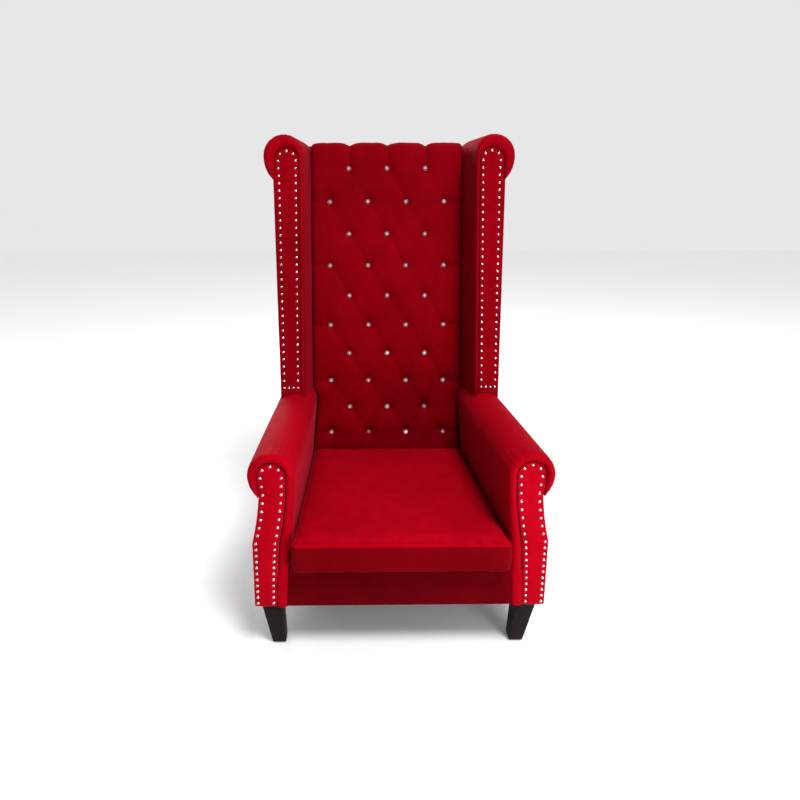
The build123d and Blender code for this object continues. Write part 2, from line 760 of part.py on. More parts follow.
def main():
    os.makedirs("parts", exist_ok=True)

    # Frame
    post = make_posts()
    rear_seat_rail = make_cross_rail(frame_bottom_z, rail_top_z)
    lower_z = rail_top_z + lower_rail_rise
    top_z = back_top_z - top_rail_drop - top_rail_height
    middle_z = (lower_z + top_z + top_rail_height - back_rail_height) / 2
    lower_back_rail = make_cross_rail(lower_z, lower_z + back_rail_height)
    middle_back_rail = make_cross_rail(middle_z, middle_z + back_rail_height)
    top_back_rail = make_cross_rail(top_z, top_z + top_rail_height)
    side_rail = make_side_rail()
    front_rail = make_front_rail()
    arm_rail = make_arm_rail()
    wing_rail = make_wing_rail()
    wing_side_board = make_wing_side_board()
    cross_rails = rear_seat_rail + lower_back_rail + middle_back_rail + top_back_rail

    # Arms
    arm_face = arm_outline()
    arm_band = arm_band_outline()
    arm_whole = drawn_back(arm_face, arm_splay, arm_front_y, half_depth + 40) & raked_space(-far, rear_v)
    lip = arm_front_y + band_recess + band_thickness + board_thickness
    below_deck = block(0, arm_band_bottom_x + 2, lip, half_depth + 60, frame_bottom_z - 1, deck_bottom_z)
    arm_pad = drawn_back(arm_face - arm_band, arm_splay, arm_front_y, half_depth + 40)
    arm_pad = arm_pad & raked_space(-far, rear_v - layer_gap)
    arm_pad = arm_pad - below_deck - front_rail - cross_rails - post
    band_face = arm_face & arm_band_outline(layer_gap)
    arm_front_panel = drawn_back(band_face, arm_splay, arm_front_y + band_recess, board_y)
    board_face = arm_outline(skin_thickness + 1) & arm_band_outline(layer_gap)
    arm_board = drawn_back(board_face, arm_splay, board_y, board_y + board_thickness) - front_rail
    skin_face = (arm_outline() - arm_outline(skin_thickness)) & front_polygon(
        (arm_neck[0] - 30, frame_bottom_z - 1), (arm_belly[0] + 50, frame_bottom_z - 1),
        (arm_belly[0] + 50, arm_neck[1] - 8), (arm_neck[0] - 30, arm_neck[1] - 8),
    )
    outside_arm = drawn_back(skin_face, arm_splay, board_y, half_depth + 40)
    outside_arm = outside_arm & raked_space(-far, rear_v - layer_gap)
    outside_arm = outside_arm - post

    # Wings
    wing_face = wing_outline()
    wing_pad = wing_drawn(wing_face - wing_band_outline(), -wing_depth, rear_v - layer_gap)
    wing_pad = wing_pad - arm_whole - cross_rails - post - wing_rail
    wing_band_face = wing_face & wing_band_outline(layer_gap)
    wing_front_panel = wing_drawn(wing_band_face, band_recess - wing_depth, board_v) - arm_whole
    wing_board_face = wing_outline(skin_thickness + 1) & wing_band_outline(layer_gap)
    wing_board = wing_drawn(wing_board_face, board_v, board_v + board_thickness) - arm_whole
    wing_skin_face = (wing_outline() - wing_outline(skin_thickness)) & front_polygon(
        (wing_outer_bottom_x - 30, arm_roll_z + 1), (wing_neck[0] + 40, arm_roll_z + 1),
        (wing_neck[0] + 40, wing_neck[1] - 6), (wing_outer_bottom_x - 30, wing_neck[1] - 6),
    )
    outside_wing = wing_drawn(wing_skin_face, board_v, rear_v - layer_gap) - arm_whole
    wing_side_board = wing_side_board - arm_whole

    # Legs and bolts
    bolts, glides, legs = [], [], {}
    for name, (top_centre, foot_centre) in leg_places().items():
        bolt = make_bolt(top_centre)
        bolts += [bolt, other_side(bolt)]
        glide = make_glide(foot_centre)
        glides += [glide, other_side(glide)]
        legs[name] = make_leg(top_centre, foot_centre) - bolt
    all_bolts = Compound(children=[b.solid() for b in bolts])
    side_rail = side_rail - all_bolts
    post = post - all_bolts

    save_pair("back_post", post)
    save("rear_seat_rail", rear_seat_rail)
    save("lower_back_rail", lower_back_rail)
    save("middle_back_rail", middle_back_rail)
    save("top_back_rail", top_back_rail)
    save_pair("side_seat_rail", side_rail)
    save("front_seat_rail", front_rail)
    save_pair("arm_rail", arm_rail)
    save_pair("wing_rail", wing_rail)
    save_pair("wing_side_board", wing_side_board)
    save("corner_blocks", make_corner_blocks(front_rail, rear_seat_rail, side_rail, post))
    for name, leg in legs.items():
        save_pair(name, leg)
    save("leg_glides", Compound(children=[g.solid() for g in glides]))
    save("leg_bolts", all_bolts)

    save_pair("arm_pad", arm_pad)
    save_pair("arm_front_panel", arm_front_panel)
    save_pair("arm_front_board", arm_board)
    save_pair("outside_arm_panel", outside_arm)
    save_pair("wing_pad", wing_pad)
    save_pair("wing_front_panel", wing_front_panel)
    save_pair("wing_front_board", wing_board)
    save_pair("outside_wing_panel", outside_wing)
    save_pair("arm_nails", make_arm_nails())
    save_pair("wing_nails", make_wing_nails())

    make_back_pieces(wing_pad)
    save("outside_back_panel", make_outside_back())

    # Seat
    springs = [make_spring(x) for x in spring_xs()]
    save("seat_springs", Compound(children=[s.solid() for s in springs]))
    save("spring_clips", make_spring_clips(springs))
    gap = deck_clearance
    deck_rear_y = back_y(deck_bottom_z) - gap
    deck_front_y = board_y + gap
    pad_bottom_z = deck_bottom_z + deck_cloth
    save("seat_deck_cloth", seat_plan(gap, deck_front_y, deck_rear_y, deck_bottom_z, pad_bottom_z))
    save("seat_deck_pad", seat_plan(gap, deck_front_y, deck_rear_y, pad_bottom_z, deck_top_z))
    save("front_apron", make_apron())
    save("dust_cover", make_dust_cover(legs.values()))

    foam = cushion_block(cushion_skin + 0.3)
    cover = cushion_block(0) - cushion_block(cushion_skin)
    save("seat_cushion_cover", cover)
    save("seat_cushion_foam", foam)
    save("cushion_zipper", make_zipper())


main()
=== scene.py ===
# %% [markdown]
# # A tufted wing-back throne chair
# A tall armchair in red velvet: rolled arms and rolled wings with nailed front bands, a button-tufted
# back with crystal buttons, and a loose seat cushion over a sprung deck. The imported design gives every
# place and size, and this lesson dresses it, one piece of upholstery at a time. Lengths are in metres.

# %% Load the frame
import json
import math
import random
import bmesh
import bpy
import numpy as np
from mathutils import Matrix, Vector, noise
from mathutils.bvhtree import BVHTree
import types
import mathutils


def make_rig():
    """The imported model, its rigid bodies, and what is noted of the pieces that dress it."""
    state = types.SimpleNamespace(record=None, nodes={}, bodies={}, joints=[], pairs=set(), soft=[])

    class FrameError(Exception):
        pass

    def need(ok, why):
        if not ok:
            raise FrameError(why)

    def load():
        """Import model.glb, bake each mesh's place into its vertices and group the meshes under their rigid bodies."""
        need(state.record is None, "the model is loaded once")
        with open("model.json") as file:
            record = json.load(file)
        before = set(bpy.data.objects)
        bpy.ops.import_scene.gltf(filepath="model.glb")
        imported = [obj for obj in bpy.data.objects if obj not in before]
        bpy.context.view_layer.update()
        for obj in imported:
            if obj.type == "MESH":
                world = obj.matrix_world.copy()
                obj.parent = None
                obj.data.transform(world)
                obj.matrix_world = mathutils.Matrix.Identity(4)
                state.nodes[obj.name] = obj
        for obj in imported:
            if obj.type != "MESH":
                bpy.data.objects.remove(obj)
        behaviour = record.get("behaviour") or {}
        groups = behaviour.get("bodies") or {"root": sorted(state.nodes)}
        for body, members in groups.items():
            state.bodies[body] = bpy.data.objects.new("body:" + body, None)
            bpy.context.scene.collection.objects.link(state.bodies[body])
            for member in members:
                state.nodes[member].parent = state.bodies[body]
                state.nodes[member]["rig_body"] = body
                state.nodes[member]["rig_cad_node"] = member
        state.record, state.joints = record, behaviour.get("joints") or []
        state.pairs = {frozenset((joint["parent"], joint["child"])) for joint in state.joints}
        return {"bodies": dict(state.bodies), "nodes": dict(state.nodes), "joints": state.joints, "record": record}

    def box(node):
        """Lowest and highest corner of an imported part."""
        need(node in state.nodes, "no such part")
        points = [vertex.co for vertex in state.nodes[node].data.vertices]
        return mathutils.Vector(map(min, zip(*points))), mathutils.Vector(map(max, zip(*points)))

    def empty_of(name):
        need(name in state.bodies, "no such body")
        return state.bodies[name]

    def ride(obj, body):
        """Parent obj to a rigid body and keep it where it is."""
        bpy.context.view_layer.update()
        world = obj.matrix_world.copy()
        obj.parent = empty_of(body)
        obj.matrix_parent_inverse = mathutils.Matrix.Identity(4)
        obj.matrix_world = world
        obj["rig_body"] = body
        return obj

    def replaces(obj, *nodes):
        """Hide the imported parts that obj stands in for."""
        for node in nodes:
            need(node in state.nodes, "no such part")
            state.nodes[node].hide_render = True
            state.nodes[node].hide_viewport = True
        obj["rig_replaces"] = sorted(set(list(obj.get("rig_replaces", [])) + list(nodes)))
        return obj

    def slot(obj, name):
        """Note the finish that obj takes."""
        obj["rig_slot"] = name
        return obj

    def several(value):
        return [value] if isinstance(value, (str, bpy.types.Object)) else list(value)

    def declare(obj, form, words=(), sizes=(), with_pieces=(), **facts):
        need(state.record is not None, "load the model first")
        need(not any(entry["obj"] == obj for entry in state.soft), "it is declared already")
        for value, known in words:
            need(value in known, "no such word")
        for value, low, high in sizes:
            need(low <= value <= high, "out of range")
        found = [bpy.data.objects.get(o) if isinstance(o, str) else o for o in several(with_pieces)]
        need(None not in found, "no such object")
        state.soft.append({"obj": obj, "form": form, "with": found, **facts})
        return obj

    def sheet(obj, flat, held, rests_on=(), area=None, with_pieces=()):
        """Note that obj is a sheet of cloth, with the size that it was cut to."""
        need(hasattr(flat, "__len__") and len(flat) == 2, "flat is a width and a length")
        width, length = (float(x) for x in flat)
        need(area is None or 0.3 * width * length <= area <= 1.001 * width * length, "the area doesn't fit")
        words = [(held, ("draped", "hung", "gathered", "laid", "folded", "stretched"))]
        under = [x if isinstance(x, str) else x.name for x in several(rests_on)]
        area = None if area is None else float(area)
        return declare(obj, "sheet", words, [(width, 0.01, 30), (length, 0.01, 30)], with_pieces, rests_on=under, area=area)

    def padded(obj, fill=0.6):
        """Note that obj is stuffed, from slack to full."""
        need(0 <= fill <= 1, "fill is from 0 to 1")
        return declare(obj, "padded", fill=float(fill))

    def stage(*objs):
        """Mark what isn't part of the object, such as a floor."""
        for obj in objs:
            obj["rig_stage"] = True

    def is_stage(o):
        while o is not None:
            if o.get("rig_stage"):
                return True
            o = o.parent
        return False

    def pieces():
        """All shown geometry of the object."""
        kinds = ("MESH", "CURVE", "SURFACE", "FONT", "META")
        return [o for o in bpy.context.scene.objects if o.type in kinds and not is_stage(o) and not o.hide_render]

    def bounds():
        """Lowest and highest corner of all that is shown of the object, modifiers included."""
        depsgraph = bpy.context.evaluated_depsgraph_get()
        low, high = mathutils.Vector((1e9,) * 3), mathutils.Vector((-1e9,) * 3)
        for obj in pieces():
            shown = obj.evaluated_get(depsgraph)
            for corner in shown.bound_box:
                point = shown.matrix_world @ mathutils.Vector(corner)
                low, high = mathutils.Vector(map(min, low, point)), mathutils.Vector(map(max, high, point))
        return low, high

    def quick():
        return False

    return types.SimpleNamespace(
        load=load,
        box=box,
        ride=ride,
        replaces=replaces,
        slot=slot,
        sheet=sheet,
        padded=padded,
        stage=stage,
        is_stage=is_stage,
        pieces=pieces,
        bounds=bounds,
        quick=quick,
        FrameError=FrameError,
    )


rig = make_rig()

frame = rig.load()
design_low, design_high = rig.bounds()
MM = 0.001
print("design box", tuple(round(v, 3) for v in design_low), tuple(round(v, 3) for v in design_high))

# %% [markdown]
# ## Camera, light and floor
# The chair is looked at from a little above the seat and slightly to one side. A large soft key light
# stands to the right, in front and above, because velvet shows its shape in how the pile turns from lit
# to dark. A smaller one stands low in front, so that the arms are lit more than the tall wings. Weak
# lights from the left, above and behind keep the far side from going black.

# %% Camera
CAMERA_PLACE = Vector((-0.1328, -1.9195, 1.2780))
CAMERA_YAW = -0.0067
CAMERA_PITCH = -0.2223
CAMERA_ROLL = -0.0039


def make_camera():
    data = bpy.data.cameras.new("camera")
    data.sensor_width = 36.0
    data.lens = 27.09
    data.shift_x = 0.0557
    data.shift_y = -0.0775
    camera = bpy.data.objects.new("camera", data)
    turn = Matrix.Rotation(CAMERA_YAW, 4, "Z") @ Matrix.Rotation(math.pi / 2 + CAMERA_PITCH, 4, "X")
    camera.matrix_world = Matrix.Translation(CAMERA_PLACE) @ turn @ Matrix.Rotation(CAMERA_ROLL, 4, "Z")
    bpy.context.scene.collection.objects.link(camera)
    bpy.context.scene.camera = camera
    return camera


make_camera()
bpy.context.scene.view_settings.view_transform = "Standard"
print("camera at", tuple(CAMERA_PLACE))

# %% Lights
LOOK_AT = Vector((0.0, 0.0, 0.75))


def area_light(name, place, width, watts, tint=(1, 1, 1)):
    data = bpy.data.lights.new(name, "AREA")
    data.shape = "DISK"
    data.size = width
    data.energy = watts
    data.color = tint
    light = bpy.data.objects.new(name, data)
    light.location = place
    light.rotation_euler = (LOOK_AT - Vector(place)).to_track_quat("-Z", "Y").to_euler()
    bpy.context.scene.collection.objects.link(light)
    return light


area_light("key", (1.15, -2.5, 4.7), 1.7, 400)
area_light("low", (1.15, -2.0, 0.35), 1.0, 52)
area_light("fill", (-2.2, -2.4, 1.0), 2.2, 10)
area_light("top", (0.3, 1.2, 3.2), 1.4, 14)
area_light("rear", (-1.4, 3.2, 2.0), 2.0, 90)
world = bpy.data.worlds.new("studio")
world.use_nodes = True
world.node_tree.nodes["Background"].inputs["Color"].default_value = (1.0, 1.0, 1.0, 1.0)
world.node_tree.nodes["Background"].inputs["Strength"].default_value = 0.8
bpy.context.scene.world = world
print("lights:", [o.name for o in bpy.context.scene.objects if o.type == "LIGHT"])

# %% [markdown]
# ## Sums as Python
# A finish is a chain of small sums on noise and position. Wiring them by hand is slow to read, so one
# class wraps a socket and turns Python's + - * into Math nodes. One method adds every other node.

# %% Shader sums


class Signal:
    """A socket's value in a sum: each + - * on it adds a Math node."""

    def __init__(self, graph, socket):
        self.graph = graph
        self.socket = socket

    def maths(self, operation, first, second):
        return self.graph.node("ShaderNodeMath", {"operation": operation}, {0: first, 1: second})

    def __add__(self, other):
        return self.maths("ADD", self, other)

    def __sub__(self, other):
        return self.maths("SUBTRACT", self, other)

    def __rsub__(self, other):
        return self.maths("SUBTRACT", other, self)

    def __mul__(self, other):
        return self.maths("MULTIPLY", self, other)

    __radd__ = __add__
    __rmul__ = __mul__


class Graph:
    """A node tree being wired; node() is the only way that a node gets into it."""

    def __init__(self, tree):
        self.tree = tree

    def node(self, kind, settings=None, sockets=None, out=0):
        made = self.tree.nodes.new(kind)
        for name, value in (settings or {}).items():
            if name == "stops":
                self.set_stops(made.color_ramp, value)
            else:
                setattr(made, name, value)
        for key, value in (sockets or {}).items():
            if isinstance(value, Signal):
                self.tree.links.new(value.socket, made.inputs[key])
            else:
                made.inputs[key].default_value = value
        return Signal(self, made.outputs[out]) if len(made.outputs) else made

    def set_stops(self, ramp, stops):
        while len(ramp.elements) < len(stops):
            ramp.elements.new(0.5)
        for element, (place, level) in zip(ramp.elements, stops):
            element.position = place
            element.color = (level, level, level, 1.0)

    def mix_colours(self, share, first, second):
        return self.node("ShaderNodeMix", {"data_type": "RGBA"}, {0: share, 6: first, 7: second}, out=2)

    def levels(self, value, *stops):
        return self.node("ShaderNodeValToRGB", {"stops": stops}, {"Fac": value})


class Finish(Graph):
    """A material with one Principled shader, and the helpers that its textures share."""

    def __init__(self, name, **constants):
        self.material = bpy.data.materials.new(name)
        self.material.use_nodes = True
        super().__init__(self.material.node_tree)
        self.shader = self.tree.nodes["Principled BSDF"]
        for key, value in constants.items():
            self.entry(key).default_value = value
        self.place = self.node("ShaderNodeTexCoord", out="Object")

    def entry(self, key):
        """The shader's socket for a name such as base_color."""
        return self.shader.inputs[key.replace("_", " ").title().replace("Ior", "IOR")]

    def stretched(self, scale):
        return self.node("ShaderNodeMapping", {}, {"Vector": self.place, "Scale": scale})

    def cloud(self, scale, detail=3.0, where=None, roughness=0.5):
        sockets = {"Vector": where or self.place, "Scale": scale, "Detail": detail, "Roughness": roughness}
        return self.node("ShaderNodeTexNoise", {}, sockets, out="Fac")

    def feed(self, **sockets):
        for key, value in sockets.items():
            self.tree.links.new(value.socket, self.entry(key))
        return self.material

    def bump(self, height, strength, depth, under=None):
        sockets = {"Height": height, "Strength": strength, "Distance": depth}
        if under is not None:
            sockets["Normal"] = under
        return self.node("ShaderNodeBump", {}, sockets)


print("shader helpers ready")

# %% [markdown]
# ## Velvet
# Velvet is a short upright pile. Where hands brushed it the pile leans and the red turns lighter or
# darker in soft patches, and at a grazing angle the fibre tips glow. So the colour mixes two reds by
# large soft noise and by finer streaks, the sheen layer gives the glow, and a very fine bump is the pile.
# Each group of panels has its own depth of red: lighter and darker copies of one velvet, a painted light and shade.

# %% Velvet finish
SHEEN_TINT = (1.0, 0.06, 0.13, 1.0)
RED = (1.0, 0.001, 0.018)


def make_velvet(name, tone, side_shade=1.0, sheen=0.09):
    """tone is how red this copy is painted, lighter or darker for how much light falls on its panels; the next number
    scales it down where the cloth does not face up, a painted shade on the sides.
    """
    finish = Finish(name, specular_ior_level=0.04, sheen_weight=sheen, sheen_roughness=0.34)
    finish.shader.inputs["Sheen Tint"].default_value = SHEEN_TINT
    finish.shader.inputs["Specular Tint"].default_value = SHEEN_TINT
    brushed = finish.cloud(4.5, 2.0)
    marks = finish.cloud(1.0, 3.0, finish.stretched((30.0, 30.0, 14.0)), 0.6)
    pile = finish.cloud(900.0, 2.0)
    turned = finish.levels(brushed * 0.5 + marks * 0.38 + pile * 0.12, (0.30, 0.0), (0.70, 1.0))
    # Painted shade: the red is darkened where the surface turns away from facing up, as if lit only from above.
    facing = finish.node("ShaderNodeNewGeometry", out="Normal")
    upward = finish.node("ShaderNodeSeparateXYZ", {}, {"Vector": facing}, out="Z")
    flat = finish.levels(upward, (0.35, side_shade), (0.85, 1.0))
    dark = tuple(0.78 * tone * c for c in RED) + (1.0,)
    light = tuple(1.2 * tone * c for c in RED) + (1.0,)
    nap = finish.mix_colours(turned, dark, light)
    colour = finish.mix_colours(flat, (0.0, 0.0, 0.0, 1.0), nap)
    wadding = finish.cloud(42.0, 2.0)
    soft = finish.bump(wadding, 0.35, 0.0014)
    fine = finish.bump(pile, 0.25, 0.0004, soft)
    roughness = finish.levels(turned, (0.0, 0.88), (1.0, 0.74))
    return finish.feed(base_color=colour, roughness=roughness, normal=fine)


# Painted light and shade: copies of one red velvet, painted lighter where more light falls (arms, arm fronts, seat
# top) and darker where less does (wing bands, tufted back, apron); the seat's sides also get painted shade.
velvet = make_velvet("red_velvet", 0.125)
velvet_arm = make_velvet("red_velvet_arm", 0.18)
velvet_front = make_velvet("red_velvet_front", 0.19, 1.0, 0.45)
velvet_band = make_velvet("red_velvet_band", 0.11, 1.0, 0.14)
velvet_back = make_velvet("red_velvet_back", 0.095)
velvet_seat = make_velvet("red_velvet_seat", 0.18, 0.42)
velvet_low = make_velvet("red_velvet_low", 0.055)
print("velvets:", [m.name for m in bpy.data.materials if m.name.startswith("red")])

# %% [markdown]
# ## Woods, metals and the rest
# The legs are stained nearly black, so their grain shows only as a faint streak in colour and gloss.
# The frame inside is sawn hardwood and plywood. Nails are nickel plated with fine scratches, and the
# crystal buttons are faceted glass on foil, which looks like a bright metal under a clear coat.

# %% Wood finishes


def make_wood(name, pale, deep, roughness, coat, grain=(22.0, 22.0, 1.6)):
    finish = Finish(name, coat_roughness=0.3, specular_ior_level=0.08)
    along = finish.stretched(grain)
    rings = finish.cloud(3.0, 5.0, along, 0.6)
    pores = finish.cloud(26.0, 3.0, along, 0.7)
    streak = finish.levels(rings * 0.7 + pores * 0.3, (0.36, 0.0), (0.64, 1.0))
    colour = finish.mix_colours(streak, deep, pale)
    gloss = finish.levels(pores, (0.3, roughness + 0.12), (0.7, roughness))
    finish.shader.inputs["Coat Weight"].default_value = coat
    return finish.feed(base_color=colour, roughness=gloss, normal=finish.bump(pores, 0.3, 0.0003))


leg_wood = make_wood("leg_wood", (0.006, 0.0024, 0.0018, 1), (0.002, 0.001, 0.0007, 1), 0.42, 0.0)
frame_wood = make_wood("frame_wood", (0.62, 0.43, 0.25, 1), (0.42, 0.26, 0.13, 1), 0.72, 0.0)
plywood = make_wood("plywood", (0.72, 0.55, 0.35, 1), (0.55, 0.38, 0.21, 1), 0.7, 0.0, (1.6, 22.0, 60.0))
print("made", leg_wood.name, frame_wood.name, plywood.name)

# %% Metal, glass, plastic, foam and cloth finishes


def make_metal(name, colour, dull, low, high):
    finish = Finish(name, metallic=1.0)
    scratches = finish.cloud(260.0, 3.0, finish.stretched((1.0, 1.0, 0.25)))
    tarnish = finish.levels(finish.cloud(35.0, 4.0), (0.45, 0.0), (0.75, 1.0))
    roughness = finish.levels(scratches, (0.35, low), (0.7, high))
    return finish.feed(base_color=finish.mix_colours(tarnish, colour, dull), roughness=roughness,
                       normal=finish.bump(scratches, 0.08, 0.0001))


def make_crystal():
    finish = Finish("crystal", metallic=0.9, coat_weight=0.5, coat_roughness=0.15, ior=1.6)
    depth = finish.levels(finish.cloud(420.0, 1.0), (0.35, 0.0), (0.65, 1.0))
    colour = finish.mix_colours(depth, (0.30, 0.24, 0.27, 1), (0.80, 0.76, 0.80, 1))
    return finish.feed(base_color=colour, roughness=finish.levels(depth, (0.0, 0.30), (1.0, 0.14)))


def make_plain(name, colour, spot, scale, roughness, bump_depth):
    """Foam and moulded plastic: speckled colour over a fine bump."""
    finish = Finish(name, specular_ior_level=0.3)
    cells = finish.cloud(scale, 2.0)
    share = finish.levels(cells, (0.35, 0.0), (0.65, 1.0))
    return finish.feed(base_color=finish.mix_colours(share, colour, spot),
                       normal=finish.bump(cells, 0.5, bump_depth),
                       roughness=finish.levels(share, (0.0, roughness), (1.0, roughness - 0.1)))


def make_weave(name, warp, weft, threads):
    """Crossing threads, as two waves at right angles."""
    finish = Finish(name, specular_ior_level=0.15)
    sockets = {"Vector": finish.place, "Scale": threads}
    across = finish.node("ShaderNodeTexWave", {"bands_direction": "X"}, sockets)
    along = finish.node("ShaderNodeTexWave", {"bands_direction": "Z"}, sockets)
    depth = finish.node("ShaderNodeTexWave", {"bands_direction": "Y"}, sockets)
    cloth = across * 0.34 + along * 0.33 + depth * 0.33
    slub = finish.cloud(70.0, 3.0)
    share = finish.levels(cloth * 0.6 + slub * 0.4, (0.3, 0.0), (0.7, 1.0))
    return finish.feed(base_color=finish.mix_colours(share, warp, weft),
                       normal=finish.bump(cloth, 0.5, 0.0004),
                       roughness=finish.levels(slub, (0.3, 0.95), (0.7, 0.8)))


nail_metal = make_metal("nail_metal", (0.40, 0.32, 0.33, 1), (0.22, 0.16, 0.17, 1), 0.14, 0.32)
steel = make_metal("spring_steel", (0.42, 0.42, 0.43, 1), (0.22, 0.20, 0.19, 1), 0.32, 0.5)
crystal = make_crystal()
NEAR_BLACK = (0.03, 0.03, 0.03, 1)
DARK_GREY = (0.05, 0.05, 0.05, 1)
glide_plastic = make_plain("glide_plastic", NEAR_BLACK, DARK_GREY, 300.0, 0.55, 0.0002)
foam = make_plain("foam", (0.80, 0.74, 0.52, 1), (0.66, 0.58, 0.36, 1), 420.0, 0.95, 0.0008)
webbing = make_weave("jute_webbing", (0.42, 0.31, 0.17, 1), (0.60, 0.48, 0.30, 1), 160.0)
lining = make_weave("black_lining", (0.018, 0.017, 0.018, 1), (0.045, 0.042, 0.045, 1), 260.0)
platform_cloth = make_weave("platform_cloth", (0.16, 0.002, 0.008, 1), (0.26, 0.004, 0.014, 1), 260.0)
print("materials:", len(bpy.data.materials))

# %% Floor


def make_floor():
    mesh = bpy.data.meshes.new("floor")
    reach = 14.0
    corners = [(-reach, -reach, 0), (reach, -reach, 0), (reach, reach, 0), (-reach, reach, 0)]
    mesh.from_pydata(corners, [], [(0, 1, 2, 3)])
    floor = bpy.data.objects.new("floor", mesh)
    finish = Finish("pale_floor", specular_ior_level=0.2)
    grain = finish.cloud(18.0, 4.0)
    reach = finish.node("ShaderNodeVectorMath", {"operation": "LENGTH"}, {0: finish.place}, out="Value")
    # Painted light: the floor is grey near the chair and painted paler with distance, to near white far off, a painted
    # brightness standing in for a lit white backdrop.
    far = finish.levels(reach * 0.2, (0.25, 0.0), (0.8, 1.0))
    speckle = finish.mix_colours(grain, (0.53, 0.53, 0.53, 1), (0.57, 0.57, 0.57, 1))
    colour = finish.mix_colours(far, speckle, (0.95, 0.95, 0.95, 1))
    roughness = finish.levels(grain, (0.0, 0.75), (1.0, 0.65))
    mesh.materials.append(finish.feed(base_color=colour, roughness=roughness))
    bpy.context.scene.collection.objects.link(floor)
    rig.stage(floor)


make_floor()

# %% [markdown]
# ## From points to pieces
# Most covers here are one sheet of points with a second sheet behind it, closed round the edge, so that
# each is a real closed shell that could be cut out and reused. Two makers cover them all.

# %% Mesh makers


def make_piece(name, points, faces, material, body="chair", smooth=True):
    mesh = bpy.data.meshes.new(name)
    mesh.from_pydata([tuple(p) for p in points], [], [tuple(f) for f in faces])
    shape = bmesh.new()
    shape.from_mesh(mesh)
    bmesh.ops.remove_doubles(shape, verts=shape.verts, dist=1e-6)
    bmesh.ops.dissolve_degenerate(shape, dist=1e-6, edges=shape.edges)
    bmesh.ops.triangulate(shape, faces=[f for f in shape.faces if len(f.verts) > 4])
    bmesh.ops.recalc_face_normals(shape, faces=shape.faces)
    shape.to_mesh(mesh)
    shape.free()
    mesh.shade_smooth() if smooth else mesh.shade_flat()
    mesh.materials.append(material)
    piece = bpy.data.objects.new(name, mesh)
    bpy.context.scene.collection.objects.link(piece)
    piece["body"] = body
    return piece


def grid_faces(rows, columns, start=0, wrap=False):
    found = []
    for i in range(rows - 1):
        for j in range(columns if wrap else columns - 1):
            k = (j + 1) % columns
            found.append((start + i * columns + j, start + (i + 1) * columns + j,
                          start + (i + 1) * columns + k, start + i * columns + k))
    return found


def two_sided(name, front, back, material, body="chair"):
    """A closed shell from two matching grids of points, joined round their edges."""
    rows, columns = front.shape[:2]
    count = rows * columns
    points = np.concatenate([front.reshape(-1, 3), back.reshape(-1, 3)])
    faces = grid_faces(rows, columns) + grid_faces(rows, columns, count)
    rim = [j for j in range(columns)]
    rim += [i * columns + columns - 1 for i in range(1, rows)]
    rim += [(rows - 1) * columns + j for j in range(columns - 2, -1, -1)]
    rim += [i * columns for i in range(rows - 2, 0, -1)]
    for a, b in zip(rim, rim[1:] + rim[:1]):
        faces.append((a, b, b + count, a + count))
    return make_piece(name, points, faces, material, body)


def dress(piece, *nodes, slot="velvet", fill=None):
    """Hands a finished piece to the frame: its body, the nodes it stands for, its slot and its padding."""
    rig.ride(piece, piece["body"])
    if nodes:
        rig.replaces(piece, *nodes)
    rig.slot(piece, slot)
    if fill is not None:
        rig.padded(piece, fill=fill)
    del piece["body"]
    print(piece.name, "faces", len(piece.data.polygons))
    return piece


print("mesh makers ready")

# %% [markdown]
# ## The chair's own lines
# The back leans, the wings close in towards the back, and so do the arms, a little. A few functions hold
# those lines. Front-view outlines are (x, z) points; a place function lays them at a depth.

# %% Leaning planes and outlines
RAKE = 0.155
LEAN = math.atan(RAKE)
cover_low, cover_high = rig.box("inside_back_cover")
apron_low, apron_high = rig.box("front_apron")
BASE_Z = apron_low.z
ARM_FRONT_Y = apron_low.y
BACK_TOP_Z = cover_high.z
DECK_Z = apron_high.z
REAR_V = 89.5 * MM
ARM_SPLAY = 0.035
WING_SPLAY = 0.10
WING_DEPTH = 152 * MM


def back_y(z):
    """The tufted face's Y at a height."""
    return cover_low.y + RAKE * (z - cover_low.z)


def three_point_arc(a, b, c, count):
    """Even points along the arc from a through b to c."""
    (ax, ay), (bx, by), (cx, cy) = a, b, c
    cross = 2 * (ax * (by - cy) + bx * (cy - ay) + cx * (ay - by))
    aa, bb, cc = ax * ax + ay * ay, bx * bx + by * by, cx * cx + cy * cy
    ux = (aa * (by - cy) + bb * (cy - ay) + cc * (ay - by)) / cross
    uy = (aa * (cx - bx) + bb * (ax - cx) + cc * (bx - ax)) / cross
    radius = math.hypot(ax - ux, ay - uy)
    start = math.atan2(ay - uy, ax - ux)
    middle = (math.atan2(by - uy, bx - ux) - start) % math.tau
    sweep = (math.atan2(cy - uy, cx - ux) - start) % math.tau
    if middle > sweep:
        sweep -= math.tau
    turns = start + sweep * np.linspace(0, 1, count)
    return np.stack([ux + radius * np.cos(turns), uy + radius * np.sin(turns)], 1)


def straight(a, b, count):
    share = np.linspace(0, 1, count)[:, None]
    return np.array(a) * (1 - share) + np.array(b) * share


def chain(*runs):
    """Joins runs of points end to end, without the repeated ends."""
    return np.concatenate([runs[0]] + [run[1:] for run in runs[1:]])


ARM_ROLL = np.array((353, 557)) * MM
ARM_ROLL_R = 65 * MM
ARM_BAND_R = 39 * MM
ARM_NECK = (388 * MM, 498 * MM)
ARM_BELLY = (411 * MM, 357 * MM)
WING_ROLL = np.array((364, 1436)) * MM
WING_ROLL_R = 68 * MM
WING_NECK = (397 * MM, 1352 * MM)
WING_FRONT_Y = back_y(WING_ROLL[1]) - WING_DEPTH


def arm_place(x, z, depth, side):
    return np.stack([side * (x - ARM_SPLAY * depth), ARM_FRONT_Y + depth, z], -1)


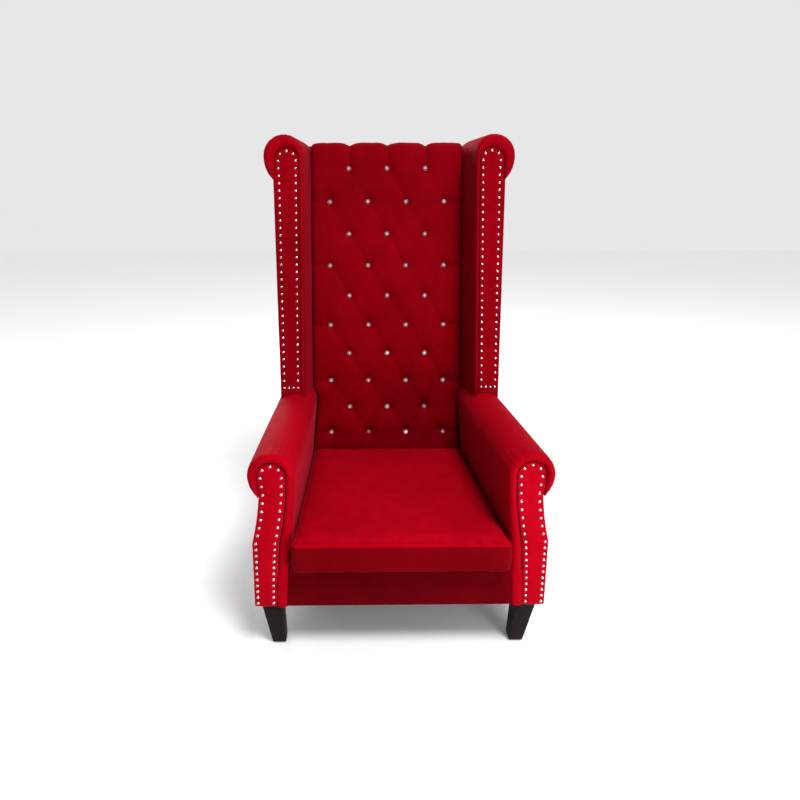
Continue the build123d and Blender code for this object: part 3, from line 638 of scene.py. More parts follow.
def wing_place(x, z, depth, side):
    y = back_y(z) - WING_DEPTH + depth
    return np.stack([side * (x - WING_SPLAY * (y - WING_FRONT_Y)), y, z], -1)


def wing_x(x, z):
    """Keeps a wing width the same down the leaning front."""
    return x - WING_SPLAY * RAKE * (WING_ROLL[1] - z)


print("back face leans", round(math.degrees(LEAN), 1), "degrees")

# %% [markdown]
# ## Rolled covers
# The inside arm and inside wing covers are pulled over a padded roll, gathered by hand round the front
# rim and tacked under the nailed band. A section is drawn once (outer wall, round rim, hidden inner
# wall, rear edge) and carried along the outline, so the rim and its gathers follow every bend.

# %% Section carried along an outline
RIM_DEPTH = 16 * MM
RIM_PROUD = 6 * MM
REAR_ROUND = 9 * MM
HUB_R = 12 * MM


def wave(along, pitch, seed):
    """Uneven gathers: a ripple whose spacing wanders."""
    wander = np.array([noise.noise(Vector((a * 21.0, seed, 0.0))) for a in along])
    height = np.array([noise.noise(Vector((a * 33.0, seed + 5.0, 0.0))) for a in along])
    return np.cos(math.tau * (along / pitch + 1.1 * wander)) * (0.75 + 0.9 * height)


def lumps(points, scale, seed):
    """Soft unevenness of hand-stuffed wadding."""
    return np.array([noise.noise(Vector(p) * scale + Vector((seed, seed, seed))) for p in points])


def rolled_cover(name, outer, band, length, hub, is_roll, place, side, seed, cloth,
                 gather=0.9 * MM, puff=3 * MM):
    """outer and band are matching outlines; length is each station's depth; hub is the roll's centre."""
    gap = band - outer
    width = np.linalg.norm(gap, axis=1)
    inward = gap / width[:, None]
    to_hub = hub - outer
    hub_far = np.linalg.norm(to_hub, axis=1)
    steps = np.r_[0, np.cumsum(np.linalg.norm(np.diff(outer, axis=0), axis=1))]
    ripple = wave(steps, 21 * MM, seed) * is_roll
    thin = np.minimum(width, 22 * MM)
    wall = (1 - np.linspace(0, 1, 44)) ** 1.5
    rim = np.linspace(0, math.pi, 15)[1:]
    rear = np.linspace(math.pi / 2, 0, 6)
    rows = []
    for i in range(len(outer)):
        long = length[i]
        rim_deep = min(RIM_DEPTH, long * 0.45)
        round_r = min(REAR_ROUND, long * 0.2)
        depth = rim_deep + (long - round_r - rim_deep) * wall
        full = np.sin(np.pi * np.clip(depth / max(long, 0.05), 0, 1)) ** 0.7
        fold = gather * ripple[i] * np.exp(-(depth - rim_deep) / (42 * MM))
        out = -(puff * full * (1 - 0.65 * is_roll[i]) * (long > 0.1) + fold)
        points = [outer[i] + inward[i] * o for o in out]
        depths = list(depth)
        for turn in rim:
            lift = gather * ripple[i] * math.sin(turn) * 0.9
            across = width[i] / 2 * (1 - math.cos(turn)) - lift * math.cos(turn)
            points.append(outer[i] + inward[i] * across)
            proud = RIM_PROUD * (0.35 + 0.65 * is_roll[i])
            depths.append(rim_deep - (rim_deep + proud + lift * 0.6) * math.sin(turn))
        bend = min(40 * MM, long * 0.6)
        inside = ((width[i], rim_deep + 3 * MM), (thin[i], bend), (thin[i], long - 2 * MM))
        for across, deep in inside:
            points.append(outer[i] + inward[i] * across)
            depths.append(deep)
        if is_roll[i] > 0.5:
            direction, reach = to_hub[i] / hub_far[i], hub_far[i] - HUB_R
        else:
            direction, reach = inward[i], thin[i]
        for across, deep in ((reach, long - 1.2 * MM), (reach, long), ((reach + round_r) / 2, long)):
            points.append(outer[i] + direction * across)
            depths.append(deep)
        for turn in rear[:-1]:
            points.append(outer[i] + direction * round_r * (1 - math.cos(turn)))
            depths.append(long - round_r * (1 - math.sin(turn)))
        points = np.array(points)
        rows.append(place(points[:, 0], points[:, 1], np.array(depths), side))
    grid = np.array(rows)
    count = grid.shape[1]
    flat = grid.reshape(-1, 3)
    faces = grid_faces(len(rows), count, wrap=True)
    faces.append(tuple(range(count)))
    faces.append(tuple(range(len(flat) - count, len(flat))))
    return make_piece(name, flat, faces, cloth)


print("section maker ready")

# %% [markdown]
# ## Arms
# The inside arm runs from under the cushion up over the roll to the neck. Below the deck only a short
# lip of it shows beside the apron. The band in front is a separate strip, set back behind the rim.

# %% Arm covers


def arm_edge_outer():
    """From the foot up the inside, over the roll and under it to the neck, in three runs."""
    foot = (319 * MM, BASE_Z)
    inner = (ARM_ROLL[0] - ARM_ROLL_R, ARM_ROLL[1])
    top = (ARM_ROLL[0], ARM_ROLL[1] + ARM_ROLL_R)
    outer = (ARM_ROLL[0] + ARM_ROLL_R, ARM_ROLL[1])
    under = (ARM_ROLL[0] + ARM_ROLL_R * 0.86, (ARM_ROLL[1] + ARM_NECK[1]) / 2 - 6 * MM)
    over = three_point_arc(inner, top, outer, 90)
    return straight(foot, inner, 60), over, three_point_arc(outer, under, ARM_NECK, 26)


def arm_edge_band():
    """The nailed band's edge, matching the outline run for run."""
    bottom = (347 * MM, BASE_Z)
    mid = (337 * MM, ARM_BELLY[1])
    low = ((bottom[0] + mid[0]) / 2 + 2 * MM, (bottom[1] + mid[1]) / 2)
    neck = (316 * MM, 500 * MM)
    waist = ((mid[0] + neck[0]) / 2 - 2 * MM, (mid[1] + neck[1]) / 2)
    left = (ARM_ROLL[0] - ARM_BAND_R, ARM_ROLL[1])
    top = (ARM_ROLL[0], ARM_ROLL[1] + ARM_BAND_R)
    right = (ARM_ROLL[0] + ARM_BAND_R, ARM_ROLL[1])
    turn = (ARM_NECK[0], ARM_NECK[1] + 4 * MM)
    below = three_point_arc(bottom, low, mid, 24)
    side = chain(below, three_point_arc(mid, waist, neck, 24), straight(neck, left, 8))
    heights = np.linspace(BASE_Z, ARM_ROLL[1], 60)
    up = np.stack([np.interp(heights, side[:, 1], side[:, 0]), heights], 1)
    return up, three_point_arc(left, top, right, 90), straight(right, turn, 26)


def arm_cover(side, seed):
    outer, band = chain(*arm_edge_outer()), chain(*arm_edge_band())
    count = len(outer)
    order = np.arange(count)
    is_roll = np.clip((order - 52) / 10, 0, 1)
    tucked_v = np.where(is_roll > 0.5, REAR_V, 48 * MM)
    length = back_y(outer[:, 1]) + tucked_v - ARM_FRONT_Y
    lip = 14 * MM
    below_deck = (outer[:, 1] < DECK_Z - 20 * MM) & (order < 60)
    length = np.where(below_deck, lip, length)
    name = "arm_cover_right" if side > 0 else "arm_cover_left"
    return rolled_cover(name, outer, band, length, ARM_ROLL, is_roll, arm_place, side, seed, velvet_arm)


for side, word in ((1, "right"), (-1, "left")):
    dress(arm_cover(side, 2.0 + side), "arm_pad_" + word, fill=0.7)

# %% [markdown]
# ## Wings
# Each wing is made as the arm is, on planes that lean with the back. Its inside cover is pulled round the
# back post, and its foot lies on the arm's roll.

# %% Wing covers
WING_FOOT_Z = 588 * MM
WING_BAND_X = 311 * MM


def wing_edge_outer():
    foot = (wing_x(296 * MM, WING_FOOT_Z), WING_FOOT_Z)
    inner = (WING_ROLL[0] - WING_ROLL_R, WING_ROLL[1])
    top = (WING_ROLL[0], WING_ROLL[1] + WING_ROLL_R)
    outer = (WING_ROLL[0] + WING_ROLL_R, WING_ROLL[1])
    under = (WING_ROLL[0] + WING_ROLL_R * 0.87, (WING_ROLL[1] + WING_NECK[1]) / 2 - 5 * MM)
    over = three_point_arc(inner, top, outer, 90)
    return straight(foot, inner, 70), over, three_point_arc(outer, under, WING_NECK, 30)


def wing_edge_band():
    foot = (wing_x(WING_BAND_X, WING_FOOT_Z), WING_FOOT_Z)
    left = (WING_BAND_X, 1424 * MM)
    top = (352 * MM, 1458 * MM)
    right = (392 * MM, 1424 * MM)
    turn = (WING_NECK[0] - 6 * MM, WING_NECK[1] + 6 * MM)
    return straight(foot, left, 70), three_point_arc(left, top, right, 90), straight(right, turn, 30)


def wing_cover(side, seed):
    outer, band = chain(*wing_edge_outer()), chain(*wing_edge_band())
    order = np.arange(len(outer))
    is_roll = np.clip((order - 63) / 8, 0, 1)
    length = WING_DEPTH + np.where(is_roll > 0.5, REAR_V, 48 * MM)
    name = "wing_cover_right" if side > 0 else "wing_cover_left"
    return rolled_cover(name, outer, band, length, WING_ROLL, is_roll, wing_place, side, seed, velvet,
                        puff=1.5 * MM)


for side, word in ((1, "right"), (-1, "left")):
    dress(wing_cover(side, 7.0 + side), "wing_pad_" + word, fill=0.6)

# %% [markdown]
# ## Where the nails and buttons are
# The design's nails and buttons are separate little solids. Their centres are read back here, because
# the cloth has to dip at every nail and every button.

# %% Centres of small solids


def island_tips(node, toward):
    """The point of each small solid that stands furthest out along a direction."""
    shape = bmesh.new()
    shape.from_mesh(frame["nodes"][node].data)
    bmesh.ops.remove_doubles(shape, verts=shape.verts, dist=1e-6)
    toward = Vector(toward).normalized()
    waiting, tips = set(shape.verts), []
    while waiting:
        seed_vert = waiting.pop()
        group, edge = [seed_vert], [seed_vert]
        while edge:
            for link in edge.pop().link_edges:
                for vert in link.verts:
                    if vert in waiting:
                        waiting.remove(vert)
                        group.append(vert)
                        edge.append(vert)
        far = max(v.co.dot(toward) for v in group)
        front = [v.co for v in group if v.co.dot(toward) > far - 0.2 * MM]
        tips.append(sum(front, Vector()) / len(front))
    shape.free()
    return sorted(tips, key=lambda p: (round(p.z, 4), round(p.x, 4)))


OUT_OF_BACK = Vector((0, -math.cos(LEAN), math.sin(LEAN)))
CRYSTAL_FRONT = 4.5 * MM
arm_nails = {word: island_tips("arm_nails_" + word, (0, -1, 0)) for word in ("right", "left")}
wing_nails = {word: island_tips("wing_nails_" + word, OUT_OF_BACK) for word in ("right", "left")}
crystals = island_tips("crystal_buttons", OUT_OF_BACK)
buttons = [(p.x, p.z + CRYSTAL_FRONT * math.sin(LEAN)) for p in crystals]
print("nails", len(arm_nails["right"]), len(wing_nails["right"]), "buttons", len(buttons))

# %% [markdown]
# ## Nailed bands
# A band is a narrow padded strip. Each nail pins the cloth down and the cloth swells between nails, so
# the surface is a low crown, less a dimple at every nail, with small creases from nail to edge.

# %% Band maker
BAND_RECESS = 4 * MM
BAND_BACK = 14 * MM


def edge_fall(distance, radius):
    """How far a rounded edge has dropped at a distance in from it."""
    inside = np.clip(distance, 0, radius)
    return radius - np.sqrt(np.maximum(radius ** 2 - (radius - inside) ** 2, 0))


def nail_pull(points, nails, reach):
    """1 at a nail, falling to 0 around it, for an array of points."""
    pull = np.zeros(points.shape[:-1])
    for nail in nails:
        gap = np.linalg.norm(points - np.array(nail), axis=-1)
        pull = np.maximum(pull, np.exp(-(gap / reach) ** 2))
    return pull


def nailed_band(name, left, right, place, side, nails, seed, cloth, crown=2.6 * MM, wrinkle=1.3 * MM):
    columns = 27
    share = 0.5 - 0.5 * np.cos(np.pi * np.linspace(0, 1, columns))
    x = left[:, None, 0] * (1 - share) + right[:, None, 0] * share
    z = left[:, None, 1] * (1 - share) + right[:, None, 1] * share
    width = np.linalg.norm(right - left, axis=1)[:, None]
    rise = np.r_[0, np.cumsum(np.linalg.norm(np.diff((left + right) / 2, axis=0), axis=1))][:, None]
    from_side = np.minimum(share, 1 - share) * width
    from_end = np.minimum(rise, rise[-1] - rise)
    flat = place(x, z, np.full_like(x, BAND_RECESS), side)
    pull = nail_pull(flat, nails, 7.5 * MM)
    swell = crown * np.clip(from_side / (16 * MM), 0, 1) ** 0.6 * np.clip(width / (45 * MM), 0, 1)
    soft = lumps(flat.reshape(-1, 3), 48.0, seed).reshape(x.shape) * 0.9 * MM
    across = lumps(flat.reshape(-1, 3) * (14.0, 14.0, 95.0), 1.0, seed).reshape(x.shape)
    soft = soft + across * wrinkle
    depth = BAND_RECESS - swell * (1 - pull) + pull * 0.8 * MM + soft * (1 - pull)
    depth = depth + edge_fall(from_side, 3 * MM) + edge_fall(from_end, 2.5 * MM)
    front = place(x, z, depth, side)
    back = place(x, z, np.full_like(x, BAND_BACK), side)
    return two_sided(name, front, back, cloth)


def arm_band_sides():
    """Matching points up the band's inner and outer edges, from the foot to its round top."""
    inner_up = arm_edge_band()[0]
    waist = ((ARM_NECK[0] + ARM_BELLY[0]) / 2 - 3 * MM, (ARM_NECK[1] + ARM_BELLY[1]) / 2)
    outer = chain(straight((ARM_BELLY[0], BASE_Z), ARM_BELLY, 4),
                  three_point_arc(ARM_BELLY, waist, ARM_NECK, 30),
                  straight(ARM_NECK, (ARM_ROLL[0] + ARM_BAND_R, ARM_ROLL[1]), 4))
    heights = np.linspace(BASE_Z, ARM_ROLL[1], 110)
    turns = np.radians(np.linspace(0, 88, 24))[1:]
    half = ARM_BAND_R * np.cos(turns)
    top_z = ARM_ROLL[1] + ARM_BAND_R * np.sin(turns)
    left_x = np.r_[np.interp(heights, inner_up[:, 1], inner_up[:, 0]), ARM_ROLL[0] - half]
    right_x = np.r_[np.interp(heights, outer[:, 1], outer[:, 0]), ARM_ROLL[0] + half]
    z = np.r_[heights, top_z]
    return np.stack([left_x + 0.5 * MM, z], 1), np.stack([right_x, z], 1)


def wing_band_sides():
    left = (WING_BAND_X, 1424 * MM)
    top = (352 * MM, 1458 * MM)
    right = (392 * MM, 1424 * MM)
    arch = three_point_arc(left, top, right, 61)
    foot_z = 600 * MM
    heights = np.linspace(foot_z, left[1], 190)
    inner_x = wing_x(WING_BAND_X, heights)
    inner_x = np.where(heights > left[1] - 1e-6, WING_BAND_X, inner_x)
    foot_outer = wing_x(381 * MM, foot_z)
    outer_x = np.interp(heights, [foot_z, WING_NECK[1], WING_NECK[1] + 8 * MM, left[1]],
                        [foot_outer, WING_NECK[0], WING_NECK[0] - 5 * MM, right[0]])
    rising, falling = arch[1:30], arch[::-1][1:30]
    return (np.concatenate([np.stack([inner_x + 0.5 * MM, heights], 1), rising]),
            np.concatenate([np.stack([outer_x, heights], 1), falling]))


for side, word in ((1, "right"), (-1, "left")):
    sides = arm_band_sides()
    band = nailed_band("arm_band_" + word, *sides, arm_place, side, arm_nails[word], 11.0 + side,
                       velvet_front)
    dress(band, "arm_front_panel_" + word, fill=0.4)
    sides = wing_band_sides()
    band = nailed_band("wing_band_" + word, *sides, wing_place, side, wing_nails[word], 15.0 + side,
                       velvet_band, 2.0 * MM, 0.6 * MM)
    dress(band, "wing_front_panel_" + word, fill=0.4)

# %% [markdown]
# ## Outside panels
# The outside of the arms, wings and back is velvet over a stiff backing, slightly padded and blind
# stitched round its edge. So each is a broad low crown whose edge turns in, with faint pull lines. The
# side panels tuck up a little under the rolls, so that no edge of the boards inside can be seen.

# %% Outside panels
PANEL_THICKNESS = 5 * MM
TUCK = 9 * MM


def outside_panel(name, outline, start, stop, place, side, seed, crown=2.5 * MM):
    """outline runs down the outer edge; start and stop are each station's first and last depth."""
    columns = 60
    share = 0.5 - 0.5 * np.cos(np.pi * np.linspace(0, 1, columns))
    depth = start[:, None] * (1 - share) + stop[:, None] * share
    run = np.gradient(outline, axis=0)
    outward = np.stack([-run[:, 1], run[:, 0]], 1)
    outward /= np.linalg.norm(outward, axis=1)[:, None]
    outward *= np.sign(outward[:, :1])
    rise = np.r_[0, np.cumsum(np.linalg.norm(np.diff(outline, axis=0), axis=1))]
    from_end = np.minimum(rise, rise[-1] - rise)[:, None]
    from_side = np.minimum(share, 1 - share) * (stop - start)[:, None]
    edge = np.minimum(from_end, from_side)
    x0 = np.broadcast_to(outline[:, :1], depth.shape)
    z0 = np.broadcast_to(outline[:, 1:], depth.shape)
    flat = place(x0, z0, depth, side)
    soft = lumps(flat.reshape(-1, 3), 11.0, seed).reshape(depth.shape)
    lift = crown * (1 - np.exp(-edge / (30 * MM))) + soft * 1.2 * MM - edge_fall(edge, 4 * MM)
    front = place(x0 + outward[:, :1] * lift, z0 + outward[:, 1:] * lift, depth, side)
    inner = -PANEL_THICKNESS
    back = place(x0 + outward[:, :1] * inner, z0 + outward[:, 1:] * inner, depth, side)
    return two_sided(name, front, back, velvet)


def arm_outside_outline():
    waist = ((ARM_NECK[0] + ARM_BELLY[0]) / 2 - 3 * MM, (ARM_NECK[1] + ARM_BELLY[1]) / 2)
    tuck = (ARM_NECK[0] - 1 * MM, ARM_NECK[1] + TUCK)
    down = straight(ARM_BELLY, (ARM_BELLY[0], BASE_Z), 36)
    return chain(straight(tuck, ARM_NECK, 5), three_point_arc(ARM_NECK, waist, ARM_BELLY, 30), down)


def wing_outside_outline():
    foot_z = 600 * MM
    tuck = (WING_NECK[0] - 2 * MM, WING_NECK[1] + TUCK)
    return chain(straight(tuck, (WING_NECK[0] - 1 * MM, WING_NECK[1]), 5),
                 straight((WING_NECK[0] - 1 * MM, WING_NECK[1]), (wing_x(381 * MM, foot_z), foot_z), 110))


for side, word in ((1, "right"), (-1, "left")):
    outline = arm_outside_outline()
    stop = back_y(outline[:, 1]) + REAR_V - ARM_FRONT_Y
    start = np.full(len(outline), BAND_BACK)
    panel = outside_panel("arm_outside_" + word, outline, start, stop, arm_place, side, 21.0 + side)
    dress(panel, "outside_arm_panel_" + word, fill=0.3)
    outline = wing_outside_outline()
    start, stop = np.full(len(outline), BAND_BACK), np.full(len(outline), WING_DEPTH + REAR_V)
    name = "wing_outside_" + word
    panel = outside_panel(name, outline, start, stop, wing_place, side, 25.0 + side, 1.5 * MM)
    dress(panel, "outside_wing_panel_" + word, fill=0.3)

# %% Outside back


def back_half_width(z):
    """Half width of the rear panel, just inside the ends of the rolls."""
    return np.interp(z, [BASE_Z, 0.357, 0.498, 0.622, 1.352, 1.434, BACK_TOP_Z],
                     [0.385, 0.385, 0.358, 0.352, 0.368, 0.368, 0.332])


def outside_back():
    middle = np.linspace(0.21, 1.45, 120)
    heights = np.concatenate([np.linspace(BASE_Z, 0.20, 8), middle, np.linspace(1.455, BACK_TOP_Z, 10)])
    share = -np.cos(np.pi * np.linspace(0, 1, 80))
    z = np.broadcast_to(heights[:, None], (len(heights), 80))
    x = back_half_width(heights)[:, None] * share
    from_end = np.minimum(z - BASE_Z, BACK_TOP_Z - z)
    edge = np.minimum(back_half_width(heights)[:, None] * (1 - abs(share)), from_end)
    flat = np.stack([x, back_y(z) + 96 * MM, z], -1)
    soft = lumps(flat.reshape(-1, 3), 6.0, 31.0).reshape(z.shape)
    uneven = soft * 2 * MM * np.clip(edge / 0.05, 0, 1)
    lift = 4 * MM * (1 - np.exp(-edge / (55 * MM))) + uneven - edge_fall(edge, 4.5 * MM)
    front = np.stack([x, flat[..., 1] + lift, z], -1)
    back = np.stack([x, flat[..., 1] - 6 * MM, z], -1)
    return two_sided("back_outside", front, back, velvet)


dress(outside_back(), "outside_back_panel", fill=0.3)

# %% [markdown]
# ## Tufted back
# Every button is tied through the foam, so the cloth dives to it. Between neighbouring buttons the spare
# cloth is folded into a pleat, on the diagonals of the pattern, up over the top edge from the first row
# and sideways to the border from the outer buttons. A field called pull is 1 at a button and falls off
# along and across the pleats; the surface sinks where pull is high and swells where it is low.

# %% Pull of buttons and pleats
BUTTON_SINK = 10.5 * MM
SWELL = 6.5 * MM
COVER_BACK_V = 15.5 * MM
TOP_ROUND = 26 * MM
SIDE_ROUND = 14 * MM


def find_rows():
    rows = []
    for x, z in sorted(buttons, key=lambda b: -b[1]):
        if rows and abs(rows[-1][0][1] - z) < 10 * MM:
            rows[-1].append((x, z))
        else:
            rows.append([(x, z)])
    return [sorted(row) for row in rows]


def find_pleats():
    """(start, end, pull in the middle, width) of every pleat, in face coordinates."""
    rows = find_rows()
    pleats = []
    for upper, lower in zip(rows, rows[1:]):
        for a in upper:
            pleats += [(a, b, 0.29, 17 * MM) for b in lower if abs(a[0] - b[0]) < 100 * MM]
    for row in rows:
        for x, z in (row[0], row[-1]):
            if abs(x) > 180 * MM:
                pleats.append(((x, z), (math.copysign(300 * MM, x), z - 4 * MM), 0.5, 12 * MM))
    pleats += [((x, z), (x, z + 0.30), 0.55, 15 * MM) for x, z in rows[0]]
    pleats += [((x, z), (x, z - 0.20), 0.4, 14 * MM) for x, z in rows[-1]]
    return pleats


def pull_field(x, z):
    total = np.zeros_like(x)
    chance = random.Random(4)
    for bx, bz in buttons:
        r = np.hypot(x - bx, z - bz)
        total += np.exp(-(np.maximum(r - 8.5 * MM, 0) / (19 * MM)) ** 1.1) ** 4
    for (ax, az), (bx, bz), middle, width in find_pleats():
        long = math.hypot(bx - ax, bz - az)
        ux, uz = (bx - ax) / long, (bz - az) / long
        along = np.clip(((x - ax) * ux + (z - az) * uz) / long, 0, 1)
        bow = chance.uniform(-5, 5) * MM * np.sin(np.pi * along)
        off = (x - ax) * uz - (z - az) * ux + bow
        beyond = np.hypot((x - ax) * ux + (z - az) * uz - along * long, 0)
        gap = np.hypot(off, beyond)
        near_end = abs(2 * along - 1) if long < 0.17 and abs(ux) > 0.2 and abs(uz) > 0.2 else 1 - along
        level = middle * chance.uniform(0.8, 1.2) + (1 - middle) * near_end ** 2.6
        total += (level * np.exp(-(gap / width) ** 1.25)) ** 4
    return np.minimum(total ** 0.25, 1.0)


print("pleats", len(find_pleats()))

# %% Tufted cover


def cover_half_width(z):
    """The cover fills the space between the arms below and between the wings above."""
    arm_x = np.interp(z, [BASE_Z, ARM_ROLL[1]], [319 * MM, ARM_ROLL[0] - ARM_ROLL_R])
    over = np.clip(z - ARM_ROLL[1], 0, ARM_ROLL_R)
    arm_x = np.where(z > ARM_ROLL[1], ARM_ROLL[0] - np.sqrt(ARM_ROLL_R ** 2 - over ** 2), arm_x)
    arm_x = arm_x - ARM_SPLAY * (back_y(z) - ARM_FRONT_Y) - 4 * MM
    wing = wing_x(296 * MM, z) - WING_SPLAY * (back_y(z) - WING_FRONT_Y) - 3 * MM
    return np.minimum(arm_x, wing)


def cover_profile():
    """(y, z, out y, out z, face z) up the face, round the top edge and back to the rear."""
    top_y = back_y(BACK_TOP_Z)
    turn = math.pi / 2 - LEAN
    cut = TOP_ROUND * math.tan(turn / 2)
    face_end = BACK_TOP_Z - cut * math.cos(LEAN)
    heights = np.linspace(cover_low.z, face_end, 215)
    rows = [(back_y(z), z, -math.cos(LEAN), math.sin(LEAN), z) for z in heights]
    centre = (top_y + cut, BACK_TOP_Z - TOP_ROUND)
    run = rows[-1][4]
    for a in np.linspace(0, turn, 14)[1:]:
        out_y, out_z = -math.cos(LEAN + a), math.sin(LEAN + a)
        y, z = centre[0] + TOP_ROUND * out_y, centre[1] + TOP_ROUND * out_z
        rows.append((y, z, out_y, out_z, run + TOP_ROUND * a))
    last = rows[-1]
    rear_y = top_y + REAR_V
    for y in np.linspace(last[0], rear_y, 14)[1:]:
        rows.append((y, BACK_TOP_Z, 0.0, 1.0, last[4] + y - last[0]))
    return np.array(rows)


def tufted_cover():
    profile = cover_profile()
    middle = np.linspace(-1, 1, 111)
    turns = np.linspace(0, math.pi / 2, 7)[1:]
    face_z = profile[:, 4]
    half = cover_half_width(np.minimum(profile[:, 1], BACK_TOP_Z - 0.03))
    inner = (half - SIDE_ROUND)[:, None]
    left, right = -inner - SIDE_ROUND * np.sin(turns[::-1]), inner + SIDE_ROUND * np.sin(turns)
    x = np.concatenate([left, inner * middle, right], 1)
    drop = np.concatenate([1 - np.cos(turns[::-1]), np.zeros(111), 1 - np.cos(turns)]) * SIDE_ROUND
    z = np.broadcast_to(face_z[:, None], x.shape)
    pull = pull_field(x, z)
    at_seat = np.clip((z - 0.40) / 0.06, 0, 1)
    inboard = np.clip((half[:, None] - abs(x)) / (34 * MM), 0, 1) ** 0.5
    rear = np.clip((cover_high.z + 0.07 - z) / 0.05, 0, 1)
    swell = (SWELL * at_seat - 1.0 * MM * (1 - at_seat)) * inboard * rear
    flat = np.stack([x, profile[:, :1] + 0 * x, z], -1).reshape(-1, 3)
    soft = lumps(flat, 24.0, 3.0).reshape(x.shape) * 1.6 * MM
    soft = soft + lumps(flat, 70.0, 9.0).reshape(x.shape) * 0.5 * MM
    out = swell * (1 - pull) - BUTTON_SINK * pull + soft * (1 - pull) * rear - drop
    y = profile[:, :1] + profile[:, 2:3] * out
    up = profile[:, 1:2] + profile[:, 3:4] * out
    front = np.stack([x, y, up], -1)
    under = -COVER_BACK_V + 0 * x
    behind, below = profile[:, :1] + profile[:, 2:3] * under, profile[:, 1:2] + profile[:, 3:4] * under
    back = np.stack([x, behind, below], -1)
    return two_sided("tufted_back", front, back, velvet_back)


dress(tufted_cover(), "inside_back_cover", fill=0.8)

# %% [markdown]
# ## Nails, buttons and stitches by Geometry Nodes
# Hundreds of nail heads are one small dome laid on many points. A Geometry Nodes tree does that: it
# builds the dome from its inputs, places one at each point, tilts each a little at random from a fixed
# seed, and ends as a plain mesh.

# %% Instancing tree


def new_tree(name, inputs):
    tree = bpy.data.node_groups.new(name, "GeometryNodeTree")
    tree.interface.new_socket("Places", in_out="INPUT", socket_type="NodeSocketGeometry")
    keys = {}
    for label, kind in inputs:
        socket = tree.interface.new_socket(label, in_out="INPUT", socket_type="NodeSocket" + kind)
        keys[label] = socket.identifier
    tree.interface.new_socket("Result", in_out="OUTPUT", socket_type="NodeSocketGeometry")
    return Graph(tree), keys


def end_tree(graph, instances, smooth):
    real = graph.node("GeometryNodeRealizeInstances", {}, {"Geometry": instances})
    shaded = graph.node("GeometryNodeSetShadeSmooth", {}, {"Geometry": real, "Shade Smooth": smooth})
    finish = graph.node("NodeGroupInput", out="Material")
    coloured = graph.node("GeometryNodeSetMaterial", {}, {"Geometry": shaded, "Material": finish})
    graph.node("NodeGroupOutput", {}, {0: coloured})


def scatter(graph, shape, seed, wobble, spin):
    """One shape at each point, turned to face out, with a little random tilt and spin."""
    places = graph.node("NodeGroupInput", out="Places")
    facing = graph.node("NodeGroupInput", out="Facing")
    sockets = {"Points": places, "Instance": shape, "Rotation": facing}
    laid = graph.node("GeometryNodeInstanceOnPoints", {}, sockets)
    low, high = (-wobble, -wobble, -spin), (wobble, wobble, spin)
    sockets = {0: low, 1: high, "Seed": seed}
    chance = graph.node("FunctionNodeRandomValue", {"data_type": "FLOAT_VECTOR"}, sockets)
    return graph.node("GeometryNodeRotateInstances", {}, {"Instances": laid, "Rotation": chance})


def dome_tree():
    inputs = (("Radius", "Float"), ("Height", "Float"), ("Facing", "Vector"), ("Material", "Material"))
    graph, keys = new_tree("nail_heads", inputs)
    radius = graph.node("NodeGroupInput", out="Radius")
    height = graph.node("NodeGroupInput", out="Height")
    ball = graph.node("GeometryNodeMeshUVSphere", {}, {"Segments": 12, "Rings": 8, "Radius": radius})
    flat = graph.node("ShaderNodeMath", {"operation": "DIVIDE"}, {0: height, 1: radius})
    scale = graph.node("ShaderNodeCombineXYZ", {}, {0: 1.0, 1: 1.0, 2: flat})
    head = graph.node("GeometryNodeTransform", {}, {"Geometry": ball, "Scale": scale})
    end_tree(graph, scatter(graph, head, 3, 0.09, 0.0), True)
    return graph.tree, keys


def stone_tree():
    inputs = (("Radius", "Float"), ("Table", "Float"), ("Height", "Float"), ("Sides", "Int"),
              ("Facing", "Vector"), ("Material", "Material"))
    graph, keys = new_tree("cut_stones", inputs)
    sockets = {"Vertices": graph.node("NodeGroupInput", out="Sides"), "Side Segments": 1, "Fill Segments": 1,
               "Radius Top": graph.node("NodeGroupInput", out="Table"),
               "Radius Bottom": graph.node("NodeGroupInput", out="Radius"),
               "Depth": graph.node("NodeGroupInput", out="Height")}
    stone = graph.node("GeometryNodeMeshCone", {}, sockets)
    end_tree(graph, scatter(graph, stone, 8, 0.10, 3.1), False)
    return graph.tree, keys


def grow_from(name, points, edges, tree, keys, values):
    """Runs a tree on points and keeps the result as a plain mesh."""
    mesh = bpy.data.meshes.new(name + "_places")
    mesh.from_pydata([tuple(p) for p in points], edges, [])
    holder = bpy.data.objects.new(name, mesh)
    bpy.context.scene.collection.objects.link(holder)
    modifier = holder.modifiers.new("grow", "NODES")
    modifier.node_group = tree
    for label, value in values.items():
        modifier[keys[label]] = value
    holder.update_tag()
    graph = bpy.context.evaluated_depsgraph_get()
    result = bpy.data.meshes.new_from_object(holder.evaluated_get(graph))
    holder.modifiers.remove(modifier)
    holder.data = result
    bpy.data.meshes.remove(mesh)
    holder["body"] = "chair"
    return holder


print("trees ready")

# %% Nail heads
NAIL_R = 4.8 * MM
NAIL_DOME = 3.0 * MM
dome, dome_keys = dome_tree()
FACING_FRONT = (math.pi / 2, 0.0, 0.0)
FACING_LEAN = (math.pi / 2 - LEAN, 0.0, 0.0)
for word in ("right", "left"):
    values = {"Radius": NAIL_R, "Height": NAIL_DOME, "Facing": FACING_FRONT, "Material": nail_metal}
    seats = [p + Vector((0, NAIL_DOME, 0)) for p in arm_nails[word]]
    heads = grow_from("arm_nail_heads_" + word, seats, [], dome, dome_keys, values)
    dress(heads, "arm_nails_" + word, slot="nail_metal")
    values["Facing"] = FACING_LEAN
    seats = [p - OUT_OF_BACK * NAIL_DOME for p in wing_nails[word]]
    heads = grow_from("wing_nail_heads_" + word, seats, [], dome, dome_keys, values)
    dress(heads, "wing_nails_" + word, slot="nail_metal")

